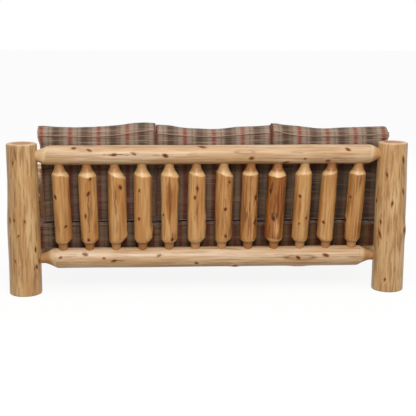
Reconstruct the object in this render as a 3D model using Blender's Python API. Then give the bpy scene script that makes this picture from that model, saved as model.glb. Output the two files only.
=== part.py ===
# Log sofa: peeled log frame with tapered tenons in blind mortises, a slatted deck and six loose cushions.
# Metres, +Z up. The seat faces -Y, the spindle back stands on +Y, and the origin is on the floor, mid-length.

import math
import random

import bmesh
import bpy
from mathutils import Matrix, Vector

# Frame outline
WIDTH = 2.21
DEPTH = 0.914
POST_DIAMETER = 0.168
REAR_POST_HEIGHT = 0.842
FRONT_POST_HEIGHT = 0.600
POST_RIM = 0.007

# Fits
CLEARANCE = 0.0003
TENON_WALL = 0.009
MORTISE_FLOOR = 0.012

# Back rails and spindles
RECLINE = math.radians(4.4)
TOP_RAIL_DIAMETER = 0.106
TOP_RAIL_HEIGHT = 0.778
TOP_RAIL_SETBACK = 0.010
TOP_RAIL_NECK = 0.004
TOP_RAIL_SHOULDER = 0.060
BOTTOM_RAIL_DIAMETER = 0.114
BOTTOM_RAIL_HEIGHT = 0.189
BOTTOM_RAIL_NECK = 0.028
BOTTOM_RAIL_SHOULDER = 0.068
RAIL_TENON_DIAMETER = 0.055
SPINDLE_COUNT = 12
# From the posts' inner faces to the axes of the end spindles
SPINDLE_TOP_MARGIN = 0.1087
SPINDLE_TOP_SHIFT = -0.006
SPINDLE_BOTTOM_MARGIN = 0.1274
SPINDLE_DIAMETER = 0.094
SPINDLE_TENON_DIAMETER = 0.052
SPINDLE_FOOT_NECK = 0.023
SPINDLE_FOOT_SHOULDER = 0.028
SPINDLE_HEAD_NECK = 0.014
SPINDLE_HEAD_SHOULDER = 0.042
# How far each spindle's body stands to +X of the line through its tenons, from the +X end of the back
SPINDLE_CROOK = (-0.005, -0.002, -0.017, -0.003, -0.002, -0.004, -0.008, 0.0, 0.002, 0.003, 0.009, 0.0)

# Arms
ARM_DIAMETER = 0.092
ARM_HEIGHT = 0.541
SIDE_RAIL_DIAMETER = 0.100
SIDE_RAIL_HEIGHT = 0.262
SIDE_TENON_DIAMETER = 0.050
SIDE_TENON_DEPTH = 0.050
SIDE_NECK = 0.004
SIDE_SHOULDER = 0.042
ARM_SPINDLE_COUNT = 3
ARM_SPINDLE_PITCH = 0.150
ARM_SPINDLE_DIAMETER = 0.078
ARM_SPINDLE_TENON_DIAMETER = 0.042
ARM_SPINDLE_NECK = 0.004
ARM_SPINDLE_SHOULDER = 0.040

# Deck, square to the reclined back
DECK_RISE = 0.033
SLAT_COUNT = 11
SLAT_WIDTH = 0.089
SLAT_THICKNESS = 0.019
SLAT_END_GAP = 0.002
SLAT_EDGE = 0.002
CLEAT_HEIGHT = 0.060
CLEAT_THICKNESS = 0.038
CLEAT_END_GAP = 0.0475
CLEAT_OVERHANG = 0.020
CLEAT_FLAT_DEPTH = 0.008
CLEAT_FLAT_MARGIN = 0.010
FRONT_RAIL_DIAMETER = 0.120
FRONT_RAIL_DROP = 0.003
FRONT_RAIL_NECK = 0.006
FRONT_RAIL_SHOULDER = 0.048

# Cushions
CUSHION_SIDES = ("left", "middle", "right")
CUSHION_GAP = 0.004
CUSHION_EDGE = 0.028
CUSHION_DRAW_IN = 0.018
SEAT_CUSHION_FRONT_REACH = 0.038
SEAT_CUSHION_THICKNESS = 0.1335
SEAT_CUSHION_CROWN = 0.0205
# Share of the half width over which the crown rises from the sides
SEAT_CROWN_SHARE = 2 / 3
SEAT_CUSHION_REAR_GAP = 0.0065
# The row of back cushions stands in front of the rear posts and reaches past their inner faces
BACK_CUSHION_OVERHANG = 0.027
BACK_CUSHION_UNEVENNESS = 0.010
BACK_CUSHION_SHIFT = -0.022
BACK_CUSHION_HEIGHT = 0.515
BACK_CUSHION_BORDER = 0.110
BACK_CUSHION_FRONT_CROWN = 0.030
BACK_CUSHION_REAR_CROWN = 0.034
BACK_CUSHION_TOP_BULGE = 0.034
BACK_CUSHION_SIDE_BULGE = 0.006
BACK_CUSHION_TAPER = 0.022
# Keeps a bulge to the border of a cushion: the higher the power, the less of the face it moves
BULGE_POWER = 5

# Facets
POST_SIDES = 20
RAIL_SIDES = 16
SPINDLE_SIDES = 12
POST_RINGS = 5
RAIL_RINGS = 6
SIDE_RINGS = 3
SPINDLE_RINGS = 4
ARM_SPINDLE_RINGS = 2
POST_RELIEF = 0.006
LOG_RELIEF = 0.010
CUTTER_OVERRUN = 0.020
SMOOTH_ANGLE = math.radians(40)
STRAIGHT = Vector((0.0, 0.0, 0.0))
UNCUT = ((), (), ())

# Finishes: colour, roughness, metallic
LOG_FINISH = ((0.53, 0.31, 0.14, 1.0), 0.38, 0.0)
SPINDLE_FINISH = ((0.46, 0.24, 0.08, 1.0), 0.40, 0.0)
DECK_FINISH = ((0.60, 0.42, 0.24, 1.0), 0.60, 0.0)
CLOTH_FINISH = ((0.17, 0.12, 0.09, 1.0), 0.90, 0.0)

post_radius = POST_DIAMETER / 2
post_x = WIDTH / 2 - post_radius
post_y = DEPTH / 2 - post_radius
opening = 2 * (post_x - post_radius)
spindle_top_pitch = (opening - 2 * SPINDLE_TOP_MARGIN) / (SPINDLE_COUNT - 1)
spindle_bottom_pitch = (opening - 2 * SPINDLE_BOTTOM_MARGIN) / (SPINDLE_COUNT - 1)
cleat_length = opening - 2 * CLEAT_END_GAP
slat_pitch = (cleat_length - 2 * CLEAT_OVERHANG - SLAT_WIDTH) / (SLAT_COUNT - 1)
top_rail_y = post_y + TOP_RAIL_SETBACK
bottom_rail_y = top_rail_y - (TOP_RAIL_HEIGHT - BOTTOM_RAIL_HEIGHT) * math.tan(RECLINE)
back_length = (TOP_RAIL_HEIGHT - BOTTOM_RAIL_HEIGHT) / math.cos(RECLINE)
seat_origin = Vector((0.0, bottom_rail_y, BOTTOM_RAIL_HEIGHT))
seat_matrix = Matrix.Translation(seat_origin) @ Matrix.Rotation(-RECLINE, 4, "X")


def clear_scene():
    for old in list(bpy.data.objects):
        bpy.data.objects.remove(old, do_unlink=True)


def add_object(name, mesh, matrix, finish, parent=None):
    colour, roughness, metallic = finish
    material = bpy.data.materials.new(name + "_finish")
    material.use_nodes = True
    surface = material.node_tree.nodes["Principled BSDF"]
    surface.inputs["Base Color"].default_value = colour
    surface.inputs["Roughness"].default_value = roughness
    surface.inputs["Metallic"].default_value = metallic
    mesh.materials.append(material)
    piece = bpy.data.objects.new(name, mesh)
    bpy.context.scene.collection.objects.link(piece)
    piece.parent = parent
    piece.matrix_basis = matrix
    return piece


def mesh_from(shape, name, smooth=True):
    mesh = bpy.data.meshes.new(name)
    bmesh.ops.recalc_face_normals(shape, faces=shape.faces)
    shape.to_mesh(mesh)
    shape.free()
    if smooth:
        mesh.shade_smooth()
        mesh.set_sharp_from_angle(angle=SMOOTH_ANGLE)
    return mesh


def along_axis(start, end):
    # A frame at start whose +Z runs to end
    turn = (end - start).to_track_quat("Z", "Y")
    return Matrix.Translation(start) @ turn.to_matrix().to_4x4()


def natural_relief(seed, strength):
    # Low waves round and along a peeled log, as a share of its radius
    draw = random.Random(seed)
    waves = [(lobes, draw.uniform(3.0, 9.0), draw.uniform(0.0, math.tau)) for lobes in (1, 2, 3)]

    def relief(angle, along):
        total = 0.0
        for lobes, pitch, start in waves:
            total += math.sin(lobes * angle + pitch * along + start) / lobes
        return strength * total

    return relief


def log_shape(shape, stations, sides, relief=None, crook=STRAIGHT):
    # Extrudes a capped ring through stations of distance, radius and growth, which is 1 on the natural
    # surface and 0 on a cut tenon. Relief and crook act in proportion to growth.
    ring = bmesh.ops.create_circle(shape, cap_ends=True, segments=sides, radius=1.0)["verts"]
    start_edges = {edge for vert in ring for edge in vert.link_edges}
    cap = ring[0].link_faces[0]
    old_centre = Vector((0.0, 0.0, 0.0))
    for number, (along, radius, growth) in enumerate(stations):
        if number:
            cap = bmesh.ops.extrude_discrete_faces(shape, faces=[cap])["faces"][0]
        centre = crook * growth + Vector((0.0, 0.0, along))
        for vert in cap.verts:
            angle = math.atan2(vert.co.y - old_centre.y, vert.co.x - old_centre.x)
            swell = 1.0 + (growth * relief(angle, along) if relief else 0.0)
            spoke = Vector((math.cos(angle), math.sin(angle), 0.0))
            vert.co = centre + spoke * radius * swell
        old_centre = centre
    bmesh.ops.holes_fill(shape, edges=list(start_edges))


def add_tenoned_log(name, start, end, necks, shoulders, tenon_diameter, diameter, rings, sides, finish,
                    crook=STRAIGHT):
    # A log with a round tenon at each end, a carved cone up to its body, and rings along the body.
    # Returns it with its tenons: each one's frame at the tip, diameter, length to the shoulder and sides.
    length = (end - start).length
    tenon_radius = tenon_diameter / 2
    first = necks[0] + shoulders[0]
    last = length - necks[1] - shoulders[1]
    stations = [(0.0, tenon_radius, 0.0), (necks[0], tenon_radius, 0.0)]
    for ring in range(rings + 1):
        stations.append((first + (last - first) * ring / rings, diameter / 2, 1.0))
    stations.append((length - necks[1], tenon_radius, 0.0))
    stations.append((length, tenon_radius, 0.0))
    matrix = along_axis(start, end)
    local_crook = matrix.to_3x3().transposed() @ crook
    shape = bmesh.new()
    log_shape(shape, stations, sides, natural_relief(name, LOG_RELIEF), local_crook)
    log = add_object(name, mesh_from(shape, name), matrix, finish)
    far_frame = matrix @ Matrix.Translation((0.0, 0.0, length)) @ Matrix.Rotation(math.pi, 4, "X")
    tenons = [(matrix, tenon_diameter, necks[0], sides), (far_frame, tenon_diameter, necks[1], sides)]
    return log, tenons


def cut_mortises(log, tenons):
    # Blind round mortises, one clearance larger than the tenons that they hold
    shape = bmesh.new()
    for frame, diameter, neck, sides in tenons:
        hole = bmesh.new()
        radius = diameter / 2 + CLEARANCE
        log_shape(hole, [(-CLEARANCE, radius, 0.0), (neck + CUTTER_OVERRUN, radius, 0.0)], sides)
        hole.transform(frame)
        loose = bpy.data.meshes.new("mortise")
        hole.to_mesh(loose)
        hole.free()
        shape.from_mesh(loose)
        bpy.data.meshes.remove(loose)
    add_cut(log, bpy.data.objects.new(log.name + "_mortises", mesh_from(shape, log.name + "_mortises")))


def add_cut(log, cutter):
    bpy.context.scene.collection.objects.link(cutter)
    cutter.hide_render = True
    cutter.display_type = "WIRE"
    cut = log.modifiers.new(cutter.name, "BOOLEAN")
    cut.operation = "DIFFERENCE"
    cut.solver = "EXACT"
    cut.object = cutter


def cut_block(size, cuts):
    # A centred box with an edge loop at each listed distance along X, Y and Z
    block = bmesh.new()
    bmesh.ops.create_cube(block, size=1.0)
    bmesh.ops.scale(block, vec=size, verts=block.verts)
    for axis, distances in enumerate(cuts):
        normal = Vector((0.0, 0.0, 0.0))
        normal[axis] = 1.0
        for distance in distances:
            geometry = block.verts[:] + block.edges[:] + block.faces[:]
            bmesh.ops.bisect_plane(block, geom=geometry, plane_co=normal * distance, plane_no=normal)
    return block


def even_cuts(size):
    # A loop near each edge and two between them
    inner = size / 2 - CUSHION_EDGE
    return [-inner, -inner / 3, inner / 3, inner]


def soften(cushion):
    smooth = cushion.modifiers.new("soft", "SUBSURF")
    smooth.levels = 1
    smooth.render_levels = 1


def add_post(name, x, y, height):
    body = height - 2 * POST_RIM
    stations = [(0.0, post_radius - POST_RIM, 0.0)]
    for ring in range(POST_RINGS + 1):
        stations.append((POST_RIM + body * ring / POST_RINGS, post_radius, 1.0))
    stations.append((height, post_radius - POST_RIM, 0.0))
    shape = bmesh.new()
    log_shape(shape, stations, POST_SIDES, natural_relief("post", POST_RELIEF))
    # Opposite posts are mirrored, which keeps the outline square about the middle
    bmesh.ops.scale(shape, vec=(math.copysign(1.0, x), math.copysign(1.0, y), 1.0), verts=shape.verts)
    return add_object(name, mesh_from(shape, name), Matrix.Translation((x, y, 0.0)), LOG_FINISH)


def add_cross_rail(name, y, z, diameter, neck_show, shoulder):
    # A log across the width. Its tenons stop short of the side tenons in the same posts.
    end_x = post_x - SIDE_TENON_DIAMETER / 2 - TENON_WALL
    post_side = abs(y) - post_y
    face_x = post_x - math.sqrt(post_radius ** 2 - post_side ** 2)
    neck = end_x - face_x + neck_show
    return add_tenoned_log(name, Vector((end_x, y, z)), Vector((-end_x, y, z)), (neck, neck),
                           (shoulder, shoulder), RAIL_TENON_DIAMETER, diameter, RAIL_RINGS, RAIL_SIDES, LOG_FINISH)


def add_side_log(name, x, z, diameter):
    # A log from the front post to the rear post of one arm
    end_y = post_y - post_radius + SIDE_TENON_DEPTH
    neck = SIDE_TENON_DEPTH + SIDE_NECK
    return add_tenoned_log(name, Vector((x, -end_y, z)), Vector((x, end_y, z)), (neck, neck),
                           (SIDE_SHOULDER, SIDE_SHOULDER), SIDE_TENON_DIAMETER, diameter, SIDE_RINGS, RAIL_SIDES,
                           LOG_FINISH)


def add_spindle(name, low, high, log_diameters, neck_shows, shoulders, tenon_diameter, diameter, rings,
                crook=STRAIGHT):
    # A spindle between two logs whose axes pass through low and high, with the bare neck that shows at its
    # foot and head. Returns its two tenons.
    floor = (high - low).normalized() * MORTISE_FLOOR
    necks = [log_diameter / 2 - MORTISE_FLOOR + show for log_diameter, show in zip(log_diameters, neck_shows)]
    return add_tenoned_log(name, low + floor, high - floor, necks, shoulders, tenon_diameter, diameter, rings,
                           SPINDLE_SIDES, SPINDLE_FINISH, crook)[1]


def add_back_spindles():
    low_tenons = []
    high_tenons = []
    for number in range(SPINDLE_COUNT):
        place = (SPINDLE_COUNT - 1) / 2 - number
        low = seat_matrix @ Vector((place * spindle_bottom_pitch, 0.0, 0.0))
        high = seat_matrix @ Vector((place * spindle_top_pitch + SPINDLE_TOP_SHIFT, 0.0, back_length))
        crook = Vector((SPINDLE_CROOK[number % len(SPINDLE_CROOK)], 0.0, 0.0))
        low_tenon, high_tenon = add_spindle("back_spindle_%02d" % (number + 1), low, high,
                                            (BOTTOM_RAIL_DIAMETER, TOP_RAIL_DIAMETER),
                                            (SPINDLE_FOOT_NECK, SPINDLE_HEAD_NECK),
                                            (SPINDLE_FOOT_SHOULDER, SPINDLE_HEAD_SHOULDER),
                                            SPINDLE_TENON_DIAMETER, SPINDLE_DIAMETER, SPINDLE_RINGS, crook)
        low_tenons.append(low_tenon)
        high_tenons.append(high_tenon)
    return low_tenons, high_tenons


def add_arm(side, x):
    # An arm log over a side rail, with short spindles between. Returns the tenons that the posts hold.
    arm, arm_tenons = add_side_log(side + "_arm", x, ARM_HEIGHT, ARM_DIAMETER)
    rail, rail_tenons = add_side_log(side + "_side_rail", x, SIDE_RAIL_HEIGHT, SIDE_RAIL_DIAMETER)
    low_tenons = []
    high_tenons = []
    for number in range(ARM_SPINDLE_COUNT):
        y = (number - (ARM_SPINDLE_COUNT - 1) / 2) * ARM_SPINDLE_PITCH
        low_tenon, high_tenon = add_spindle("%s_arm_spindle_%d" % (side, number + 1),
                                            Vector((x, y, SIDE_RAIL_HEIGHT)), Vector((x, y, ARM_HEIGHT)),
                                            (SIDE_RAIL_DIAMETER, ARM_DIAMETER),
                                            (ARM_SPINDLE_NECK, ARM_SPINDLE_NECK),
                                            (ARM_SPINDLE_SHOULDER, ARM_SPINDLE_SHOULDER),
                                            ARM_SPINDLE_TENON_DIAMETER, ARM_SPINDLE_DIAMETER, ARM_SPINDLE_RINGS)
        low_tenons.append(low_tenon)
        high_tenons.append(high_tenon)
    cut_mortises(rail, low_tenons)
    cut_mortises(arm, high_tenons)
    front_tenons = [arm_tenons[0], rail_tenons[0]]
    rear_tenons = [arm_tenons[1], rail_tenons[1]]
    return front_tenons, rear_tenons


def front_rail_place():
    # Centre of the front rail in the seat frame: on the front posts' line, just under the cushions
    z = DECK_RISE - FRONT_RAIL_DROP - FRONT_RAIL_DIAMETER / 2
    y = (-post_y - bottom_rail_y - math.sin(RECLINE) * z) / math.cos(RECLINE)
    return y, z


def mill_cleat_flat(rail, seat_frame, y_flat, z, radius, outward):
    # A flat along a rail for its cleat, facing outward, which is +1 or -1 along the seat frame's Y
    reach = radius + CUTTER_OVERRUN
    block = cut_block((cleat_length + 2 * CLEAT_FLAT_MARGIN, reach, 2 * reach), UNCUT)
    bmesh.ops.translate(block, vec=(0.0, y_flat + outward * reach / 2, z), verts=block.verts)
    cutter = bpy.data.objects.new(rail.name + "_flat", mesh_from(block, rail.name + "_flat", smooth=False))
    cutter.parent = seat_frame
    add_cut(rail, cutter)


def add_board(name, seat_frame, low, high):
    # A sawn board in the seat frame with its long edges eased
    size = high - low
    block = cut_block(size, UNCUT)
    longest = max(range(3), key=lambda axis: size[axis])
    edges = []
    for edge in block.edges:
        run = edge.verts[1].co - edge.verts[0].co
        if abs(run[longest]) > size[longest] / 2:
            edges.append(edge)
    bmesh.ops.bevel(block, geom=edges, offset=SLAT_EDGE, offset_type="OFFSET", segments=1, profile=0.5,
                    affect="EDGES", material=-1)
    middle = Matrix.Translation((low + high) / 2)
    return add_object(name, mesh_from(block, name, smooth=False), middle, DECK_FINISH, seat_frame)


def add_deck(seat_frame, bottom_rail, front_rail):
    # Cleats on milled flats of the two rails, and slats across the cleats
    front_y, front_z = front_rail_place()
    bottom_radius = BOTTOM_RAIL_DIAMETER / 2
    front_radius = FRONT_RAIL_DIAMETER / 2
    rear_flat = -(bottom_radius - CLEAT_FLAT_DEPTH)
    front_flat = front_y + front_radius - CLEAT_FLAT_DEPTH
    mill_cleat_flat(bottom_rail, seat_frame, rear_flat, 0.0, bottom_radius, -1)
    mill_cleat_flat(front_rail, seat_frame, front_flat, front_z, front_radius, 1)
    slat_low = DECK_RISE - SLAT_THICKNESS
    cleat_top = slat_low - CLEARANCE
    half = cleat_length / 2
    rear_face = rear_flat - CLEARANCE
    front_face = front_flat + CLEARANCE
    add_board("rear_cleat", seat_frame, Vector((-half, rear_face - CLEAT_THICKNESS, cleat_top - CLEAT_HEIGHT)),
              Vector((half, rear_face, cleat_top)))
    add_board("front_cleat", seat_frame, Vector((-half, front_face, cleat_top - CLEAT_HEIGHT)),
              Vector((half, front_face + CLEAT_THICKNESS, cleat_top)))
    for number in range(SLAT_COUNT):
        x = ((SLAT_COUNT - 1) / 2 - number) * slat_pitch
        low = Vector((x - SLAT_WIDTH / 2, front_flat + SLAT_END_GAP, slat_low))
        high = Vector((x + SLAT_WIDTH / 2, rear_flat - SLAT_END_GAP, DECK_RISE))
        add_board("deck_slat_%02d" % (number + 1), seat_frame, low, high)


def cushion_rear_plane():
    # The front of the back, where the fullest part of the back cushions leans
    return -(TOP_RAIL_DIAMETER / 2 + CLEARANCE)


def add_seat_cushions(seat_frame):
    # Box cushions that pass between the posts. They fall away to the front and the sides, and the back
    # cushions stand on the level top behind.
    width = (opening - 4 * CUSHION_GAP) / 3
    thickness = SEAT_CUSHION_THICKNESS
    rear = cushion_rear_plane() - SEAT_CUSHION_REAR_GAP
    depth = rear - front_rail_place()[0] + SEAT_CUSHION_FRONT_REACH
    covered = rear - (cushion_rear_plane() - BACK_CUSHION_REAR_CROWN - BACK_CUSHION_BORDER)
    flat_start = depth / 2 - covered
    crown_end = flat_start - 2 * CUSHION_EDGE
    crown_depth = crown_end + depth / 2
    along = [CUSHION_EDGE - depth / 2, crown_end - 2 * crown_depth / 3, crown_end - crown_depth / 3]
    along += [crown_end, flat_start, depth / 2 - CUSHION_EDGE]
    through = (CUSHION_EDGE - thickness / 2, thickness / 2 - CUSHION_EDGE)
    for number, side in enumerate(CUSHION_SIDES):
        shape = cut_block((width, depth, thickness), (even_cuts(width), along, through))
        for vert in shape.verts:
            x, y, z = vert.co
            across = 2 * x / width
            run = 2 * y / depth
            from_front = min((y + depth / 2) / crown_depth, 1.0)
            from_side = min((1 - abs(across)) / SEAT_CROWN_SHARE, 1.0)
            rise = SEAT_CUSHION_CROWN * (1 - (1 - from_front) ** 2) * (1 - (1 - from_side) ** 2)
            vert.co.x -= across * CUSHION_DRAW_IN * (1 - run ** 2)
            vert.co.y -= run * CUSHION_DRAW_IN * (1 - across ** 2)
            vert.co.z += rise * max(2 * z / thickness, 0.0)
        middle_x = (1 - number) * (width + CUSHION_GAP)
        middle = Vector((middle_x, rear - depth / 2, DECK_RISE + CLEARANCE + thickness / 2))
        name = side + "_seat_cushion"
        cushion = add_object(name, mesh_from(shape, name), Matrix.Translation(middle), CLOTH_FINISH, seat_frame)
        soften(cushion)


def add_back_cushions(seat_frame):
    # Box cushions that stand on the seat cushions and lean on the spindles, with raised top corners
    border = BACK_CUSHION_BORDER
    height = BACK_CUSHION_HEIGHT
    row = opening + 2 * BACK_CUSHION_OVERHANG
    third = (row - 2 * CUSHION_GAP) / 3
    widths = (third + BACK_CUSHION_UNEVENNESS, third, third - BACK_CUSHION_UNEVENNESS)
    edge_x = row / 2 + BACK_CUSHION_SHIFT
    middle_y = cushion_rear_plane() - BACK_CUSHION_REAR_CROWN - border / 2
    floor_z = DECK_RISE + CLEARANCE + SEAT_CUSHION_THICKNESS + SEAT_CUSHION_CROWN + CLEARANCE
    through = (CUSHION_EDGE - border / 2, 0.0, border / 2 - CUSHION_EDGE)
    for side, width in zip(CUSHION_SIDES, widths):
        shape = cut_block((width, border, height), (even_cuts(width), through, even_cuts(height)))
        for vert in shape.verts:
            x, y, z = vert.co
            across = 2 * x / width
            deep = 2 * y / border
            up = 2 * z / height
            crown = BACK_CUSHION_REAR_CROWN if y > 0 else BACK_CUSHION_FRONT_CROWN
            vert.co.x += across ** BULGE_POWER * BACK_CUSHION_SIDE_BULGE * (1 - deep ** 2)
            vert.co.x -= across * (CUSHION_DRAW_IN * (1 - up ** 2) + BACK_CUSHION_SIDE_BULGE)
            vert.co.x -= across * BACK_CUSHION_TAPER * (1 - up) / 2
            vert.co.y += deep * crown * (1 - across ** 2) * (1 - up ** 2)
            vert.co.z -= max(up, 0.0) * CUSHION_DRAW_IN * (1 - across ** 2)
            vert.co.z += max(up, 0.0) ** BULGE_POWER * BACK_CUSHION_TOP_BULGE * (1 - deep ** 2)
        middle = Vector((edge_x - width / 2, middle_y, floor_z + height / 2))
        edge_x -= width + CUSHION_GAP
        name = side + "_back_cushion"
        cushion = add_object(name, mesh_from(shape, name), Matrix.Translation(middle), CLOTH_FINISH, seat_frame)
        soften(cushion)


def build():
    clear_scene()
    seat_frame = bpy.data.objects.new("seat_frame", None)
    bpy.context.scene.collection.objects.link(seat_frame)
    seat_frame.matrix_basis = seat_matrix
    top_rail, top_tenons = add_cross_rail("back_top_rail", top_rail_y, TOP_RAIL_HEIGHT, TOP_RAIL_DIAMETER,
                                          TOP_RAIL_NECK, TOP_RAIL_SHOULDER)
    bottom_rail, bottom_tenons = add_cross_rail("back_bottom_rail", bottom_rail_y, BOTTOM_RAIL_HEIGHT,
                                                BOTTOM_RAIL_DIAMETER, BOTTOM_RAIL_NECK, BOTTOM_RAIL_SHOULDER)
    front_y, front_z = front_rail_place()
    front_centre = seat_matrix @ Vector((0.0, front_y, front_z))
    front_rail, front_tenons = add_cross_rail("front_rail", front_centre.y, front_centre.z, FRONT_RAIL_DIAMETER,
                                              FRONT_RAIL_NECK, FRONT_RAIL_SHOULDER)
    low_tenons, high_tenons = add_back_spindles()
    cut_mortises(bottom_rail, low_tenons)
    cut_mortises(top_rail, high_tenons)
    for number, (side, x) in enumerate((("left", post_x), ("right", -post_x))):
        arm_front, arm_rear = add_arm(side, x)
        front_post = add_post(side + "_front_post", x, -post_y, FRONT_POST_HEIGHT)
        rear_post = add_post(side + "_rear_post", x, post_y, REAR_POST_HEIGHT)
        cut_mortises(front_post, arm_front + [front_tenons[number]])
        cut_mortises(rear_post, arm_rear + [top_tenons[number], bottom_tenons[number]])
    add_deck(seat_frame, bottom_rail, front_rail)
    add_seat_cushions(seat_frame)
    add_back_cushions(seat_frame)


build()
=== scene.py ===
import math
import random

import bmesh
import bpy
import numpy as np
from mathutils import Matrix, Vector
from mathutils.bvhtree import BVHTree
from mathutils.kdtree import KDTree


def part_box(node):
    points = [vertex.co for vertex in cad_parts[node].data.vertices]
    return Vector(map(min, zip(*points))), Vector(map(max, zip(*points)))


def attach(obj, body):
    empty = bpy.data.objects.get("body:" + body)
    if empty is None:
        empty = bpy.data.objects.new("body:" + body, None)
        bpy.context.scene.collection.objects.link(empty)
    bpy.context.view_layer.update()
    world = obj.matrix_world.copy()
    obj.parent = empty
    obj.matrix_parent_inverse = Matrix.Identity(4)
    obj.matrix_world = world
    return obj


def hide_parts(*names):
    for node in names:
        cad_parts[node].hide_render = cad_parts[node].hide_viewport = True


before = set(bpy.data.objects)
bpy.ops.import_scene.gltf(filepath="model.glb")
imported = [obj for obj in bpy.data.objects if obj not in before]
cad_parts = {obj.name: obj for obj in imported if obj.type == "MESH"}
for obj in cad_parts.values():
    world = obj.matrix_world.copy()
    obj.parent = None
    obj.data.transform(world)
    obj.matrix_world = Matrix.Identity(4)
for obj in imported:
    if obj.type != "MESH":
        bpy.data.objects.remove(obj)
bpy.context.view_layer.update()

scene = bpy.context.scene
scene.view_settings.view_transform = "Standard"


def srgb(red, green, blue):
    # a colour as it looks on screen, to the linear one that a socket takes
    linear = [value / 12.92 if value < 0.04 else ((value + 0.055) / 1.055) ** 2.4
              for value in (red / 255, green / 255, blue / 255)]
    return (*linear, 1.0)


# node helpers

def nodeGroup(name, inputs, outputs):
    tree = bpy.data.node_groups.new(name, "ShaderNodeTree")
    for label, value in inputs.items():
        kind = "NodeSocketColor" if isinstance(value, tuple) else "NodeSocketFloat"
        tree.interface.new_socket(name=label, in_out="INPUT", socket_type=kind).default_value = value
    for label, kind in outputs.items():
        tree.interface.new_socket(name=label, in_out="OUTPUT", socket_type="NodeSocket" + kind)
    return tree, tree.nodes.new("NodeGroupInput").outputs, tree.nodes.new("NodeGroupOutput").inputs


def put(tree, kind, values=None, **settings):
    node = tree.nodes.new(kind)
    for key, value in settings.items():
        setattr(node, key, value)
    for key, value in (values or {}).items():
        if isinstance(value, bpy.types.NodeSocket):
            tree.links.new(value, node.inputs[key])
        else:
            node.inputs[key].default_value = value
    return node


def calc(tree, operation, *values, clamp=False):
    node = put(tree, "ShaderNodeMath", dict(enumerate(values)), operation=operation, use_clamp=clamp)
    return node.outputs[0]


def blend(tree, factor, first, second, kind="MIX"):
    mix = put(tree, "ShaderNodeMix", {0: factor, 6: first, 7: second}, data_type="RGBA", blend_type=kind)
    return mix.outputs[2]


def between(tree, value, low, high):
    # 0 below low, 1 above high, eased between
    step = put(tree, "ShaderNodeMapRange", {"Value": value, "From Min": low, "From Max": high},
               interpolation_type="SMOOTHSTEP")
    return step.outputs[0]


def stretched(tree, vector, scale):
    return put(tree, "ShaderNodeVectorMath", {0: vector, 1: scale}, operation="MULTIPLY").outputs[0]


def noise(tree, vector, scale, detail=3.0, distortion=0.0):
    values = {"Vector": vector, "Scale": scale, "Detail": detail, "Distortion": distortion}
    return put(tree, "ShaderNodeTexNoise", values).outputs["Fac"]


def attribute(tree, name, output="Fac"):
    return put(tree, "ShaderNodeAttribute", attribute_name=name).outputs[output]


# peeled log: streaks along the grain, stains, knots, pale knife cuts and sawn ends

logMarks = {
    "knotHalo": srgb(158, 102, 50),
    "knotRing": srgb(104, 57, 18),
    "knotCore": srgb(60, 26, 3),
    "ringPale": srgb(186, 134, 92),
    "ringDark": srgb(138, 92, 60),
    # the tint colour: the wood's own darker tone, and painted shade on the rails' undersides and the
    # spindles' side edges
    "tint": srgb(206, 172, 116),
    "check": srgb(80, 41, 9),
    "hair": srgb(120, 82, 48),
    # how the noises stretch: twice across the grain, then along it
    "broadGrain": (16.0, 16.0, 1.7),
    "fineGrain": (95.0, 95.0, 4.0),
    "hairGrain": (330.0, 330.0, 12.0),
    "patchGrain": (34.0, 34.0, 3.2),
    "ringPitch": 1500.0, "ringWander": 0.010,
}
surfaceOutputs = {"Color": "Color", "Roughness": "Float", "Height": "Float"}


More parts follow.
